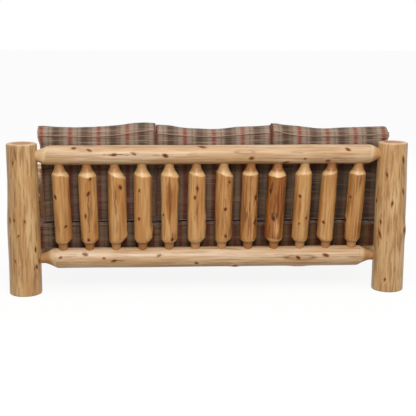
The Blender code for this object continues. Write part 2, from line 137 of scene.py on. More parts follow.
def buildPeeledLog():
    tree, given, out = nodeGroup(
        "peeledLog",
        {"Pale": srgb(215, 178, 132), "Mid": srgb(192, 148, 98), "Streak": srgb(150, 102, 54),
         "Stain": srgb(96, 66, 38), "Cut": srgb(222, 184, 132), "Neck": srgb(165, 105, 52),
         "Streaks": 0.5, "Stains": 0.3, "Satin": 0.30},
        surfaceOutputs)
    grain = attribute(tree, "grain", "Vector")
    broad = noise(tree, stretched(tree, grain, logMarks["broadGrain"]), 1.0, 4.0, 0.3)
    fine = noise(tree, stretched(tree, grain, logMarks["fineGrain"]), 1.0, 4.0, 0.2)
    hair = noise(tree, stretched(tree, grain, logMarks["hairGrain"]), 1.0, 2.0)
    patch = noise(tree, stretched(tree, grain, logMarks["patchGrain"]), 1.0, 5.0, 0.8)
    colour = blend(tree, between(tree, broad, 0.36, 0.64), given["Pale"], given["Mid"])
    rough = attribute(tree, "bark")
    amount = calc(tree, "MULTIPLY", given["Streaks"], calc(tree, "MULTIPLY_ADD", rough, 0.45, 0.40))
    streak = calc(tree, "MULTIPLY", between(tree, fine, 0.44, 0.66), amount, clamp=True)
    colour = blend(tree, streak, colour, given["Streak"])
    mottle = calc(tree, "MULTIPLY_ADD", fine, 0.7, 0.62)
    # the shade mask multiplies toward the tint colour: the wood's own tone, and painted shade on the rails'
    # undersides and the spindles' side edges
    tint = calc(tree, "MULTIPLY", attribute(tree, "shade"), mottle, clamp=True)
    colour = blend(tree, tint, colour, logMarks["tint"], "MULTIPLY")
    stain = calc(tree, "MULTIPLY", between(tree, patch, 0.58, 0.72), between(tree, fine, 0.34, 0.58))
    stain = calc(tree, "MULTIPLY", stain, rough)
    colour = blend(tree, calc(tree, "MULTIPLY", stain, given["Stains"], clamp=True), colour, given["Stain"])
    cutTone = blend(tree, attribute(tree, "neck"), given["Cut"], given["Neck"])
    dulled = calc(tree, "MULTIPLY", between(tree, fine, 0.45, 0.75), 0.35)
    cutTone = blend(tree, dulled, cutTone, given["Mid"])
    colour = blend(tree, attribute(tree, "carve"), colour, cutTone)
    colour = blend(tree, calc(tree, "MULTIPLY", hair, 0.36), colour, logMarks["hair"], "MULTIPLY")
    knot = calc(tree, "MULTIPLY", attribute(tree, "knot"), calc(tree, "MULTIPLY_ADD", fine, 0.56, 0.72))
    colour = blend(tree, between(tree, knot, 0.10, 0.42), colour, logMarks["knotHalo"])
    colour = blend(tree, between(tree, knot, 0.38, 0.62), colour, logMarks["knotRing"])
    colour = blend(tree, between(tree, knot, 0.60, 0.86), colour, logMarks["knotCore"])
    ragged = calc(tree, "MULTIPLY_ADD", fine, 0.9, 0.80)
    split = calc(tree, "MULTIPLY", attribute(tree, "check"), ragged, clamp=True)
    colour = blend(tree, split, colour, logMarks["check"])
    across = stretched(tree, grain, (1.0, 1.0, 0.0))
    reach = put(tree, "ShaderNodeVectorMath", {0: across}, operation="LENGTH").outputs["Value"]
    wander = calc(tree, "MULTIPLY", noise(tree, across, 22.0, 2.0), logMarks["ringWander"])
    turns = calc(tree, "MULTIPLY", calc(tree, "ADD", reach, wander), logMarks["ringPitch"])
    rings = calc(tree, "SINE", turns)
    late = calc(tree, "MULTIPLY_ADD", rings, 0.35, 0.45)
    ringTone = blend(tree, late, logMarks["ringPale"], logMarks["ringDark"])
    sawn = attribute(tree, "sawn")
    colour = blend(tree, sawn, colour, ringTone)
    tree.links.new(colour, out["Color"])
    shine = calc(tree, "MULTIPLY_ADD", fine, 0.22, given["Satin"])
    tree.links.new(calc(tree, "ADD", shine, calc(tree, "MULTIPLY", sawn, 0.30)), out["Roughness"])
    height = calc(tree, "ADD", calc(tree, "MULTIPLY", fine, 0.7), calc(tree, "MULTIPLY", hair, 0.3))
    pits = calc(tree, "MULTIPLY_ADD", knot, 0.6, split)
    tree.links.new(calc(tree, "SUBTRACT", height, pits), out["Height"])
    return tree


peeledLog = buildPeeledLog()


def surfaceMaterial(name, group, values, coat=0.0, bump=0.4, bumpDepth=0.001, sheen=0.0, gloss=0.32,
                    coatRough=0.24):
    material = bpy.data.materials.new(name)
    material.use_nodes = True
    tree = material.node_tree
    shader = tree.nodes["Principled BSDF"]
    effect = put(tree, "ShaderNodeGroup", node_tree=group)
    for label, value in values.items():
        effect.inputs[label].default_value = value
    tree.links.new(effect.outputs["Color"], shader.inputs["Base Color"])
    tree.links.new(effect.outputs["Roughness"], shader.inputs["Roughness"])
    relief = put(tree, "ShaderNodeBump",
                 {"Height": effect.outputs["Height"], "Strength": bump, "Distance": bumpDepth})
    tree.links.new(relief.outputs["Normal"], shader.inputs["Normal"])
    shader.inputs["Specular IOR Level"].default_value = gloss
    shader.inputs["Coat Weight"].default_value = coat
    shader.inputs["Coat Roughness"].default_value = coatRough
    shader.inputs["Sheen Weight"].default_value = sheen
    return material


railTones = {
    "Pale": srgb(220, 194, 162), "Mid": srgb(204, 167, 124), "Streak": srgb(172, 122, 74),
    "Stain": srgb(126, 84, 50), "Cut": srgb(226, 196, 154), "Neck": srgb(176, 122, 66),
    "Streaks": 0.75, "Stains": 0.60,
}
logFinishes = {
    "post": surfaceMaterial("postWood", peeledLog, {
        "Pale": srgb(222, 186, 138), "Mid": srgb(201, 158, 107), "Streak": srgb(148, 104, 57),
        "Stain": srgb(88, 62, 38), "Cut": srgb(228, 198, 158), "Neck": srgb(190, 140, 90),
        "Streaks": 0.76, "Stains": 0.70}, coat=0.06),
    "rail": surfaceMaterial("railWood", peeledLog, railTones, coat=0.10),
    # spindles: the Neck colour is the carved neck's own orange-brown, darkened further as painted shade where
    # the necks meet the rails
    "spindle": surfaceMaterial("spindleWood", peeledLog, {
        "Pale": srgb(216, 170, 112), "Mid": srgb(196, 142, 82), "Streak": srgb(150, 92, 40),
        "Stain": srgb(84, 52, 28), "Cut": srgb(228, 190, 136), "Neck": srgb(158, 102, 51),
        "Streaks": 0.80, "Stains": 0.65}, coat=0.08),
}
# arms are worn matt, so the backdrop doesn't glare on them at a low angle
armWood = surfaceMaterial("armWood", peeledLog, {**railTones, "Satin": 0.70}, gloss=0.12)
print("log finishes made")


# logs: a unit tube spun from a profile, then its surface is worked

logForm = {
    "bodyStep": 0.005,        # between rings along the body
    "cutStep": 0.003,         # between rings over a carved cone
    "cutLead": 0.004,         # close rings start this far out along the tenon
    "cutReach": 1.5,          # share of the shoulder that gets close rings
    "shy": 0.0006,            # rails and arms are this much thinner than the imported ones
    "sides": {"post": 88, "rail": 72, "spindle": 64, "arm": 48, "armSpindle": 40},
    "waveLobes": (1, 2, 3, 4), "wavePitch": (4.0, 13.0),
    "ridges": ((7, 0.0030), (11, 0.0022), (17, 0.0012)),   # lengthwise ridges: lobes, share of radius
    "ridgeDrift": 6.0,
    "carveEdge": 0.0022,
    "soften": 0.0026,         # how far the knife rounds the edge of a cut
    "neckEnd": 0.80, "neckFade": 3.0,   # share of the cone where the neck's tone ends, and its fade
    "knotsCut": 0.6, "tintsCut": 0.5,  # share of knots and of tints that a cut takes away
    "sawnInset": 0.004,       # share of the radius by which the rings stop short of the rim
    "sharp": 48.0,
    "grainRun": {"post": 1.9, "rail": 1.1, "spindle": 1.3}, "grainShift": 40.0,
    "knotStretch": {"post": 2.2, "rail": 1.6, "spindle": 1.4},
    "knotDepth": {"post": (0.70, 0.95), "rail": (0.75, 1.0), "spindle": (0.85, 1.05)},
    "knotSize": {"post": 1.25, "rail": 1.1, "spindle": 1.2},
    "knotVary": (0.75, 1.35), "knotSkew": 0.35,
    "knotSwell": 0.55, "knotPit": (0.8, 1.6), "knotFade": 1.15,
    "tailWidth": 0.42, "tailDark": 0.78, "tailLead": 0.15,
    "markEase": 0.35, "markTip": 0.1, "markWander": 0.0022, "markPitch": 70, "scarLine": 0.20,
}


def addObject(name, data):
    piece = bpy.data.objects.new(name, data)
    scene.collection.objects.link(piece)
    return piece


def meshFrom(name, shape):
    mesh = bpy.data.meshes.new(name)
    shape.to_mesh(mesh)
    shape.free()
    return mesh


def readPoints(mesh):
    points = np.empty(len(mesh.vertices) * 3)
    mesh.vertices.foreach_get("co", points)
    return points.reshape(-1, 3)


def writePoints(mesh, points):
    mesh.vertices.foreach_set("co", np.ascontiguousarray(points, dtype=np.float64).ravel())
    mesh.update()


def writeMask(mesh, name, values):
    layer = mesh.attributes.new(name, "FLOAT", "POINT")
    layer.data.foreach_set("value", np.ascontiguousarray(values, dtype=np.float32))


def unit(vector):
    return vector / np.linalg.norm(vector)


def ringPlaces(length, ends):
    places = [0.0]
    firstBody = 0.0
    lastBody = length
    if ends:
        low, high = ends
        firstBody = low["neck"] + low["shoulder"] * logForm["cutReach"]
        lastBody = length - high["neck"] - high["shoulder"] * logForm["cutReach"]
        places += list(np.arange(low["neck"] - logForm["cutLead"], firstBody, logForm["cutStep"]))
    steps = max(2, round((lastBody - firstBody) / logForm["bodyStep"]))
    body = list(np.linspace(firstBody, lastBody, steps + 1))
    places += body if ends else body[1:-1]
    if ends:
        lastCut = length - high["neck"] + logForm["cutLead"]
        places += list(np.arange(lastBody, lastCut, logForm["cutStep"]))[1:]
    return places + [length]


def logProfile(places, length, radius, rim):
    # places along the log, each with its share of the radius; a rim rounds the sawn ends
    if not rim:
        return [(0.0, 0.0)] + [(along, 1.0) for along in places] + [(length, 0.0)]
    rimShare = 1.0 - rim / radius
    curve = [(rim * (1 - math.cos(turn)), 1.0 - rim / radius * (1 - math.sin(turn)))
             for turn in (0.0, math.pi / 6, math.pi / 3, math.pi / 2)]
    profile = [(0.0, 0.0), (0.0, rimShare * 0.5)] + curve
    profile += [(along, 1.0) for along in places if rim < along < length - rim]
    profile += [(length - along, share) for along, share in reversed(curve)]
    return profile + [(length, rimShare * 0.5), (length, 0.0)]


def spunTube(name, profile, sides):
    tube = bmesh.new()
    verts = [tube.verts.new((share, 0.0, along)) for along, share in profile]
    edges = [tube.edges.new(pair) for pair in zip(verts, verts[1:])]
    bmesh.ops.spin(tube, geom=verts + edges, cent=(0, 0, 0), axis=(0, 0, 1), dvec=(0, 0, 0),
                   angle=math.tau, steps=sides, use_merge=True, use_duplicate=False)
    bmesh.ops.remove_doubles(tube, verts=tube.verts, dist=0.00001)
    bmesh.ops.recalc_face_normals(tube, faces=tube.faces)
    return meshFrom(name, tube)


def wavyRelief(draw, angle, along, waves):
    relief = np.zeros(len(angle))
    for lobes in logForm["waveLobes"]:
        pitch = draw.uniform(*logForm["wavePitch"])
        wave = np.sin(lobes * angle + pitch * along + draw.uniform(0.0, math.tau))
        relief += wave * waves / (0.6 + 0.7 * lobes)
    for lobes, strength in logForm["ridges"]:
        drift = draw.uniform(-logForm["ridgeDrift"], logForm["ridgeDrift"])
        relief += np.sin(lobes * angle + drift * along + draw.uniform(0.0, math.tau)) * strength
    return relief


def turnFrom(angle, degrees):
    # angle from a line along the log, within half a turn
    return (angle - math.radians(degrees) + math.pi) % math.tau - math.pi


def pressKnots(draw, finish, knots, radius, angle, along, bodyRadius):
    # lifts the body round each knot, and gives the knots' mask
    mask = np.zeros(len(angle))
    pitShare, pitWidth = logForm["knotPit"]
    for place, at, knotSize, rise, *tail in knots:
        size = knotSize * logForm["knotSize"][finish]
        turn = turnFrom(angle, at)
        stretch = logForm["knotStretch"][finish] * draw.uniform(*logForm["knotVary"])
        skew = draw.uniform(-logForm["knotSkew"], logForm["knotSkew"])
        away = np.hypot((along - place) / stretch, turn * radius + skew * (along - place)) / size
        swell = np.exp(-(away * logForm["knotSwell"]) ** 2)
        bodyRadius += rise * (swell - pitShare * np.exp(-(away * pitWidth) ** 2))
        depth = draw.uniform(*logForm["knotDepth"][finish])
        mask = np.maximum(mask, depth * np.exp(-(away * logForm["knotFade"]) ** 2))
        if tail:
            lead = logForm["tailLead"]
            run = np.clip((place - along) / tail[0], -1, 2)
            line = np.exp(-(turn * radius / (size * logForm["tailWidth"])) ** 2)
            line = line * (run > -lead) * np.clip(1 + lead - run, 0, 1)
            mask = np.maximum(mask, logForm["tailDark"] * line)
    return mask


def scoreMarks(marks, tint, radius, angle, along):
    # cracks, tints and bare strips run along the grain, a scar is the outline of a leaf; tints along the
    # rails' undersides are painted shade, those down the spindles' side edges partly so
    shade = np.full(len(angle), float(tint))
    check = np.zeros(len(angle))
    rows = [(kind, *row) for kind, group in (marks or {}).items() for row in group]
    for kind, low, high, at, width, depth in rows:
        turn = turnFrom(angle, at)
        if kind == "scar":
            away = np.hypot((along - (low + high) / 2) / ((high - low) / 2), turn * radius / width)
            check = np.maximum(check, depth * np.exp(-((away - 1) / logForm["scarLine"]) ** 2))
            continue
        span = np.clip(np.minimum(along - low, high - along) / (logForm["markEase"] * (high - low)), 0, 1)
        wander = logForm["markWander"] * np.sin(along * logForm["markPitch"] + at)
        spread = width * np.maximum(span, logForm["markTip"])
        line = depth * (span > 0) * np.exp(-((turn * radius + wander) / spread) ** 2)
        if kind == "crack":
            check = np.maximum(check, line)
        elif kind == "tint":
            shade = np.maximum(shade, line)
        else:
            shade *= 1 - line
    return shade, check


def carveEnds(draw, ends, surface, radius, length, angle, along):
    # the knife takes each end down to a cone and a round tenon
    reach = surface.copy()
    carve = np.zeros(len(surface))
    neck = np.zeros(len(surface))
    for fromEnd, spec in zip((along, length - along), ends or ()):
        slant = spec["slant"][0] * np.cos(angle - math.radians(spec["slant"][1]))
        rise = np.maximum(fromEnd - spec["neck"] - slant, 0.0) / spec["shoulder"]
        ripple = np.cos(spec["facets"] * angle + draw.uniform(0.0, math.tau))
        facets = 1 + spec["facet"] * ripple * np.minimum(rise, 1)
        cone = (spec["tenon"] + (radius - spec["tenon"]) * rise ** spec["flare"]) * facets
        reach = (reach + cone - np.sqrt((reach - cone) ** 2 + logForm["soften"] ** 2)) / 2
        cut = np.clip((surface - cone) / logForm["carveEdge"], 0.0, 1.0)
        carve = np.maximum(carve, cut)
        fade = np.clip((logForm["neckEnd"] - rise) * logForm["neckFade"], 0.0, 1.0)
        neck = np.maximum(neck, cut * fade * spec["tone"])
    return reach, carve, neck


def makeLog(node, finish, start, end, radius, sides, ends=None, rim=0.0, crook=0.0, waves=0.020, taper=0.0,
            knots=(), marks=None, girth=((0.0, 1.0), (1.0, 1.0)), bark=1.0, tint=0.0, face=(0.0, 1.0, 0.0)):
    # angle 0 looks along face; on a log across the back, along runs to the picture's right and angle down
    start = np.array(start, dtype=float)
    end = np.array(end, dtype=float)
    length = float(np.linalg.norm(end - start))
    axis = unit(end - start)
    faceWay = np.array(face)
    faceWay = unit(faceWay - axis * faceWay.dot(axis))
    sideWay = np.cross(axis, faceWay)
    draw = random.Random(node)

    mesh = spunTube(node + "_log", logProfile(ringPlaces(length, ends), length, radius, rim), sides)
    points = readPoints(mesh)
    share = np.hypot(points[:, 0], points[:, 1])
    angle = np.arctan2(points[:, 1], points[:, 0])
    along = points[:, 2]

    relief = wavyRelief(draw, angle, along, waves)
    bodyRadius = radius * (1 + relief + taper * (along / length - 0.5))
    bodyRadius *= np.interp(along / length, *zip(*girth))
    knot = pressKnots(draw, finish, knots, radius, angle, along, bodyRadius)
    shade, check = scoreMarks(marks, tint, radius, angle, along)
    # a crook shifts the body to the side of its tenons
    aside = crook * np.cos(angle)
    surface = crook * np.sin(angle) + np.sqrt(np.maximum(bodyRadius ** 2 - aside ** 2, 0.0))
    reach, carve, neck = carveEnds(draw, ends, surface, radius, length, angle, along)
    knot *= 1 - logForm["knotsCut"] * carve
    check *= 1 - logForm["knotsCut"] * carve
    sawn = np.zeros(len(points))
    if rim:
        sawnShare = 1.0 - rim / radius - logForm["sawnInset"]
        carve = np.clip((1 - share) / (rim / radius), 0.0, 1.0) * (share > sawnShare)
        sawn = (share < sawnShare).astype(float)
    across = reach * share * np.cos(angle)
    aside = reach * share * np.sin(angle)
    writePoints(mesh, start + np.outer(across, faceWay) + np.outer(aside, sideWay) + np.outer(along, axis))

    layer = mesh.attributes.new("grain", "FLOAT_VECTOR", "POINT")
    shift = draw.uniform(0.0, logForm["grainShift"])
    grain = np.column_stack((across, aside, along * logForm["grainRun"][finish] + shift))
    layer.data.foreach_set("vector", np.ascontiguousarray(grain, dtype=np.float32).ravel())
    masks = {"carve": carve, "neck": neck, "knot": knot, "check": check, "sawn": sawn,
             "bark": np.full(len(points), bark), "shade": shade * (1 - logForm["tintsCut"] * carve)}
    for name, values in masks.items():
        writeMask(mesh, name, values)
    mesh.shade_smooth()
    mesh.set_sharp_from_angle(angle=math.radians(logForm["sharp"]))
    mesh.materials.append(logFinishes[finish])
    piece = addObject(node + "_log", mesh)
    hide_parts(node)
    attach(piece, "frame")
    return piece


strays = {
    "first": 0.18, "run": 0.64, "angles": (95, 265), "vary": (0.7, 1.3), "rise": 0.0025,
    "size": 0.008, "small": 0.006,
}


def strayKnots(name, length, count, size=strays["size"]):
    # a few knots on a log, or on the side of it, that the picture doesn't show
    draw = random.Random(name + "knots")
    spots = []
    for spot in range(count):
        place = length * (strays["first"] + strays["run"] * (spot + draw.random()) / count)
        at = draw.uniform(*strays["angles"])
        spots.append((place, at, size * draw.uniform(*strays["vary"]), strays["rise"]))
    return spots


sofa = {
    "postX": 1.021, "postY": 0.373, "postRadius": 0.084, "postRim": 0.007,
    "rearHeight": 0.842, "frontHeight": 0.600, "postTaper": {"left": -0.070, "right": -0.095},
    "lean": math.radians(4.4),
    "railEndX": 0.987,
    "topRail": {"y": 0.383, "z": 0.778, "radius": 0.053},
    "bottomRail": {"y": 0.33768, "z": 0.189, "radius": 0.057},
    "frontRail": {"y": -0.373, "radius": 0.060},
}


def seatToWorld(points):
    # seat frame: y to the back along the raked deck, z up along the reclined back
    lean = sofa["lean"]
    x, y, z = np.transpose(points)
    return np.column_stack((x, sofa["bottomRail"]["y"] + y * math.cos(lean) + z * math.sin(lean),
                            sofa["bottomRail"]["z"] - y * math.sin(lean) + z * math.cos(lean)))


def tenonEnd(tenon, neck, shoulder, flare=1.2, facet=0.02, facets=7, slant=(0.0, 0.0), tone=0.6):
    # slant leans the cut: metres, and the angle at which it starts last
    return {"tenon": tenon, "neck": neck, "shoulder": shoulder, "flare": flare, "facet": facet,
            "facets": facets, "slant": slant, "tone": tone}


# posts

postKnots = {
    "left_rear_post": [
        (0.746, -28, 0.005, 0.001, 0.03), (0.43, -48, 0.006, 0.001, 0.02), (0.431, -28, 0.006, 0.001),
        (0.425, 10, 0.005, 0.001), (0.345, -13, 0.006, 0.001), (0.192, 67, 0.008, 0.002, 0.03),
        (0.164, 50, 0.008, 0.002), (0.263, 47, 0.006, 0.001), (0.203, -30, 0.005, 0.001, 0.02)],
    "right_rear_post": [
        (0.751, 33, 0.009, 0.003), (0.574, 37, 0.007, 0.002), (0.352, 49, 0.012, 0.011),
        (0.333, -50, 0.01, 0.001, 0.02), (0.67, -31, 0.006, 0.001, 0.03), (0.516, -74, 0.006, 0.001),
        (0.51, -7, 0.006, 0.001, 0.04), (0.075, -23, 0.006, 0.001), (0.403, -48, 0.006, 0.001, 0.05)],
}
postMarks = {
    "left_rear_post": {
        "crack": [(0.755, 0.825, -18, 0.0035, 0.6), (0.69, 0.79, -32, 0.003, 0.4),
            (0.1, 0.18, -14, 0.0035, 0.45), (0.145, 0.175, 42, 0.004, 0.6)],
        "tint": [(0.02, 0.4, 62, 0.02, 0.35), (0.0, 0.12, 0, 0.06, 0.25)]},
    "right_rear_post": {
        "crack": [(0.62, 0.72, -33, 0.0035, 0.45), (0.48, 0.56, -8, 0.0035, 0.5),
            (0.38, 0.45, -46, 0.0035, 0.45), (0.2, 0.3, -20, 0.003, 0.35)],
        "tint": [(0.0, 0.8, 66, 0.016, 0.3), (0.25, 0.335, -58, 0.012, 0.5)]},
}
postTint = {"left_rear_post": 0.09}
postGirth = {
    "left_rear_post": ((0.0, 1.030), (0.22, 1.040), (0.42, 1.068), (0.50, 1.066), (0.62, 1.030),
                       (0.76, 1.008), (1.0, 1.022)),
    "right_rear_post": ((0.0, 1.005), (0.30, 1.015), (0.50, 1.035), (0.62, 1.055), (0.76, 1.035),
                        (0.90, 1.005), (1.0, 1.010)),
}
strayCount = {"rear": 4, "front": 7}
for side, sign in (("left", 1), ("right", -1)):
    for place, way, height in (("rear", 1, sofa["rearHeight"]), ("front", -1, sofa["frontHeight"])):
        node = side + "_" + place + "_post"
        x = sign * sofa["postX"]
        y = way * sofa["postY"]
        makeLog(node, "post", (x, y, 0.0), (x, y, height), sofa["postRadius"], logForm["sides"]["post"],
                rim=sofa["postRim"], waves=0.010, taper=sofa["postTaper"][side],
                knots=postKnots.get(node, []) + strayKnots(node, height, strayCount[place]),
                marks=postMarks.get(node), tint=postTint.get(node, 0.0),
                girth=postGirth.get(node, ((0.0, 1.0), (1.0, 1.0))), face=(0.0, way, 0.0))
print("posts made")


# rails across the back and front

railEnds = {
    "tenon": 0.0275,
    "top": {"neck": 0.0400, "shoulder": 0.060},
    "bottom": {"neck": 0.0640, "shoulder": 0.068},
    "front": {"neck": 0.0560, "shoulder": 0.048},
}
railKnots = {
    "back_top_rail": [
        (0.251, -51, 0.009, 0.002), (0.334, -36, 0.008, 0.002), (0.468, -9, 0.009, 0.001, 0.04),
        (0.574, -14, 0.008, 0.001), (0.745, -2, 0.011, 0.002), (0.945, -60, 0.013, 0.002),
        (1.215, 17, 0.012, 0.002), (1.406, 51, 0.011, 0.002), (1.51, 21, 0.006, 0.001),
        (1.747, -36, 0.011, 0.002), (1.638, 39, 0.01, 0.002)],
    "back_bottom_rail": [
        (0.164, -17, 0.007, 0.001), (0.299, -33, 0.011, 0.002), (0.403, -11, 0.006, 0.001),
        (0.459, 5, 0.008, 0.001, 0.03), (0.709, -23, 0.008, 0.001), (0.918, 25, 0.01, 0.002),
        (1.136, 48, 0.012, 0.007), (1.49, -3, 0.01, 0.001), (1.647, -15, 0.011, 0.002),
        (1.5, 88, 0.016, 0.006)],
}
# each rail's tint at 86 runs along its underside and is painted shade; the other tints are the wood's own
# streaks
railMarks = {
    "back_top_rail": {
        "crack": [(0.4, 0.56, -8, 0.003, 0.6), (0.55, 0.6, -20, 0.003, 0.5), (0.66, 0.72, -4, 0.003, 0.4),
            (0.86, 0.93, -12, 0.003, 0.4), (1.43, 1.51, -18, 0.003, 0.5), (1.62, 1.79, 22, 0.003, 0.5)],
        "scar": [(1.13, 1.23, -22, 0.01, 0.42)],
        "tint": [(0.1, 1.85, 86, 0.028, 0.85), (0.25, 1.15, -62, 0.01, 0.35),
            (1.15, 1.85, -55, 0.008, 0.3)]},
    "back_bottom_rail": {
        "crack": [(0.15, 0.26, -22, 0.003, 0.5), (0.42, 0.54, 6, 0.0035, 0.6),
            (0.68, 0.74, -24, 0.003, 0.6), (1.33, 1.46, -20, 0.003, 0.35), (1.08, 1.18, 30, 0.003, 0.35)],
        "scar": [(1.42, 1.58, -4, 0.013, 0.46)],
        "tint": [(0.12, 1.85, 86, 0.032, 1.0), (0.9, 1.3, 12, 0.01, 0.25)]},
}


def crossRail(node, spec, ends, flare, facet, slants=((0.0, 0.0), (0.0, 0.0)), tones=(0.8, 0.8)):
    tip = sofa["railEndX"]
    tenons = [tenonEnd(railEnds["tenon"], ends["neck"], ends["shoulder"], flare, facet,
                       slant=slant, tone=tone) for slant, tone in zip(slants, tones)]
    makeLog(node, "rail", (tip, spec["y"], spec["z"]), (-tip, spec["y"], spec["z"]),
            spec["radius"] - logForm["shy"], logForm["sides"]["rail"], ends=tenons, waves=0.012,
            knots=railKnots.get(node, []) + strayKnots(node, 2 * tip, 6), marks=railMarks.get(node),
            face=(0.0, 1.0 if spec["y"] > 0 else -1.0, 0.0))


frontLow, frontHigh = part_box("front_rail")
sofa["frontRail"]["z"] = (frontLow[2] + frontHigh[2]) / 2
crossRail("back_top_rail", sofa["topRail"], railEnds["top"], 1.0, 0.020,
          slants=((0.012, -80.0), (0.006, 60.0)), tones=(0.3, 0.7))
crossRail("back_bottom_rail", sofa["bottomRail"], railEnds["bottom"], 1.3, 0.030,
          slants=((0.010, 70.0), (0.006, 80.0)))
crossRail("front_rail", sofa["frontRail"], railEnds["front"], 0.95, 0.020)
print("rails made")


# back spindles

spindles = {
    "radius": 0.0462, "tenon": 0.026, "floor": 0.012,
    "topMargin": 0.1087, "topShift": -0.006, "bottomMargin": 0.1274,
    "topNeck": 0.055, "topShoulder": 0.042, "footNeck": 0.068, "footShoulder": 0.028,
    # how dark the bark remains, the carved heads and feet and the whole spindle are
    "bark": (0.3, 0.9, 0.8, 0.3, 1.0, 0.6, 0.9, 1.5, 2.6, 0.7, 0.6, 1.0),
    "headTone": (0.8, 0.9, 0.8, 0.6, 0.5, 0.8, 0.5, 1.0, 1.0, 0.4, 1.0, 0.7),
    "tint": (0.25, 0.12, 0.05, 0.0, 0.0, 0.0, 0.12, 0.42, 1.0, 0.0, 0.05, 0.40),
    "footTone": (0.9, 1.0, 0.8, 1.0, 0.9, 0.7, 0.7, 1.0, 1.0, 0.7, 0.9, 0.7),
    # thickness at the foot and at the head, and where along the spindle these are
    "girthAt": (0.1, 0.9),
    "girth": ((1.01, 1.02), (1.05, 1.10), (1.09, 1.08), (1.08, 1.07), (1.00, 1.09), (1.09, 1.04),
              (1.04, 1.04), (1.01, 1.02), (1.13, 1.14), (1.01, 1.00), (0.99, 0.95), (0.94, 1.03)),
    # body's shift to +X of its tenons, from the left of the picture
    "crook": (-0.005, -0.002, -0.012, -0.003, -0.002, -0.004, -0.008, 0.0, 0.002, 0.003, 0.009, 0.0),
}
spindleKnots = (
    [(0.353, -34, 0.008, 0.002), (0.185, 28, 0.009, 0.002), (0.43, 90, 0.012, 0.004)],
    [(0.373, 7, 0.009, 0.001, 0.06), (0.246, -17, 0.007, 0.001, 0.03), (0.106, -2, 0.008, 0.001),
     (0.457, 22, 0.008, 0.001, 0.03)],
    [(0.406, 35, 0.009, 0.001), (0.104, 80, 0.009, 0.004)],
    [(0.387, -18, 0.006, 0.001), (0.226, -23, 0.008, 0.002), (0.13, 88, 0.017, 0.011)],
    [(0.245, -44, 0.007, 0.001), (0.102, 21, 0.01, 0.002), (0.428, 84, 0.016, 0.006)],
    [(0.346, -10, 0.007, 0.001), (0.399, 5, 0.008, 0.0, 0.05), (0.205, 86, 0.016, 0.007)],
    [(0.432, 38, 0.008, 0.001), (0.279, 14, 0.009, 0.002), (0.123, 20, 0.008, 0.001)],
    [(0.341, 38, 0.009, 0.001, 0.03), (0.202, 40, 0.01, 0.001, 0.05)],
    [(0.378, -48, 0.01, 0.0, 0.08), (0.224, -20, 0.012, 0.001)],
    [(0.349, -28, 0.008, 0.002), (0.223, 27, 0.008, 0.001), (0.191, -22, 0.006, 0.001)],
    [(0.196, -36, 0.008, 0.001), (0.335, 58, 0.008, 0.003)],
    [(0.339, -50, 0.008, 0.002), (0.2, -84, 0.014, 0.005)],
)
# tints down a spindle's side edge, about 50° to 75° off its face, are partly painted edge shade and partly
# the wood's orange streaks; the other marks are the wood's own
spindleMarks = (
    {"crack": [(0.14, 0.22, -20, 0.003, 0.35)],
     "tint": [(0.1, 0.46, 66, 0.012, 0.5)]},
    {"crack": [(0.13, 0.37, 5, 0.0035, 0.8), (0.2, 0.33, 18, 0.003, 0.6), (0.22, 0.27, -18, 0.004, 0.8)],
     "tint": [(0.1, 0.34, 52, 0.012, 0.7), (0.36, 0.47, 4, 0.01, 0.55)]},
    {"crack": [(0.22, 0.43, 4, 0.0032, 0.7), (0.12, 0.24, 10, 0.003, 0.5)],
     "tint": [(0.3, 0.45, 14, 0.012, 0.8)]},
    {"tint": [(0.12, 0.46, 70, 0.012, 0.6), (0.12, 0.46, -74, 0.01, 0.35)]},
    {"crack": [(0.26, 0.44, -14, 0.0025, 0.3), (0.11, 0.15, 22, 0.006, 0.55)],
     "tint": [(0.19, 0.46, -2, 0.021, 1.0)],
     "bare": [(0.16, 0.47, 46, 0.009, 0.6)]},
    {"crack": [(0.37, 0.43, 6, 0.0042, 0.62), (0.22, 0.33, 8, 0.003, 0.6), (0.2, 0.27, -8, 0.0025, 0.45)]},
    {"crack": [(0.41, 0.47, 30, 0.0035, 0.55), (0.28, 0.36, 16, 0.0032, 0.6), (0.12, 0.25, 0, 0.0028, 0.45),
         (0.12, 0.25, 24, 0.0028, 0.4)],
     "tint": [(0.15, 0.47, -30, 0.018, 0.55)]},
    {"crack": [(0.33, 0.37, 46, 0.005, 0.85), (0.17, 0.24, 44, 0.0045, 0.8),
         (0.15, 0.45, -30, 0.0025, 0.45), (0.15, 0.45, 0, 0.0022, 0.35)]},
    {"crack": [(0.36, 0.44, -38, 0.006, 0.9), (0.2, 0.42, -12, 0.003, 0.6), (0.2, 0.4, 36, 0.0035, 0.6),
         (0.23, 0.26, -26, 0.009, 0.75), (0.22, 0.26, 4, 0.008, 0.7), (0.12, 0.2, -40, 0.0035, 0.6)],
     "bare": [(0.11, 0.23, 0, 0.015, 0.95)]},
    {"crack": [(0.13, 0.46, 10, 0.0022, 0.35)],
     "tint": [(0.18, 0.36, -28, 0.007, 0.8), (0.2, 0.27, 34, 0.007, 0.75)]},
    {"crack": [(0.14, 0.22, 24, 0.0028, 0.35)],
     "tint": [(0.12, 0.46, -66, 0.012, 0.75)]},
    {"crack": [(0.12, 0.2, 40, 0.004, 0.6)],
     "tint": [(0.18, 0.48, -62, 0.016, 1.0), (0.12, 0.2, 0, 0.03, 0.5)]},
)
backLength = (sofa["topRail"]["z"] - sofa["bottomRail"]["z"]) / math.cos(sofa["lean"])
opening = 2 * (sofa["postX"] - sofa["postRadius"])
spaces = len(spindleKnots) - 1
topPitch = (opening - 2 * spindles["topMargin"]) / spaces
bottomPitch = (opening - 2 * spindles["bottomMargin"]) / spaces
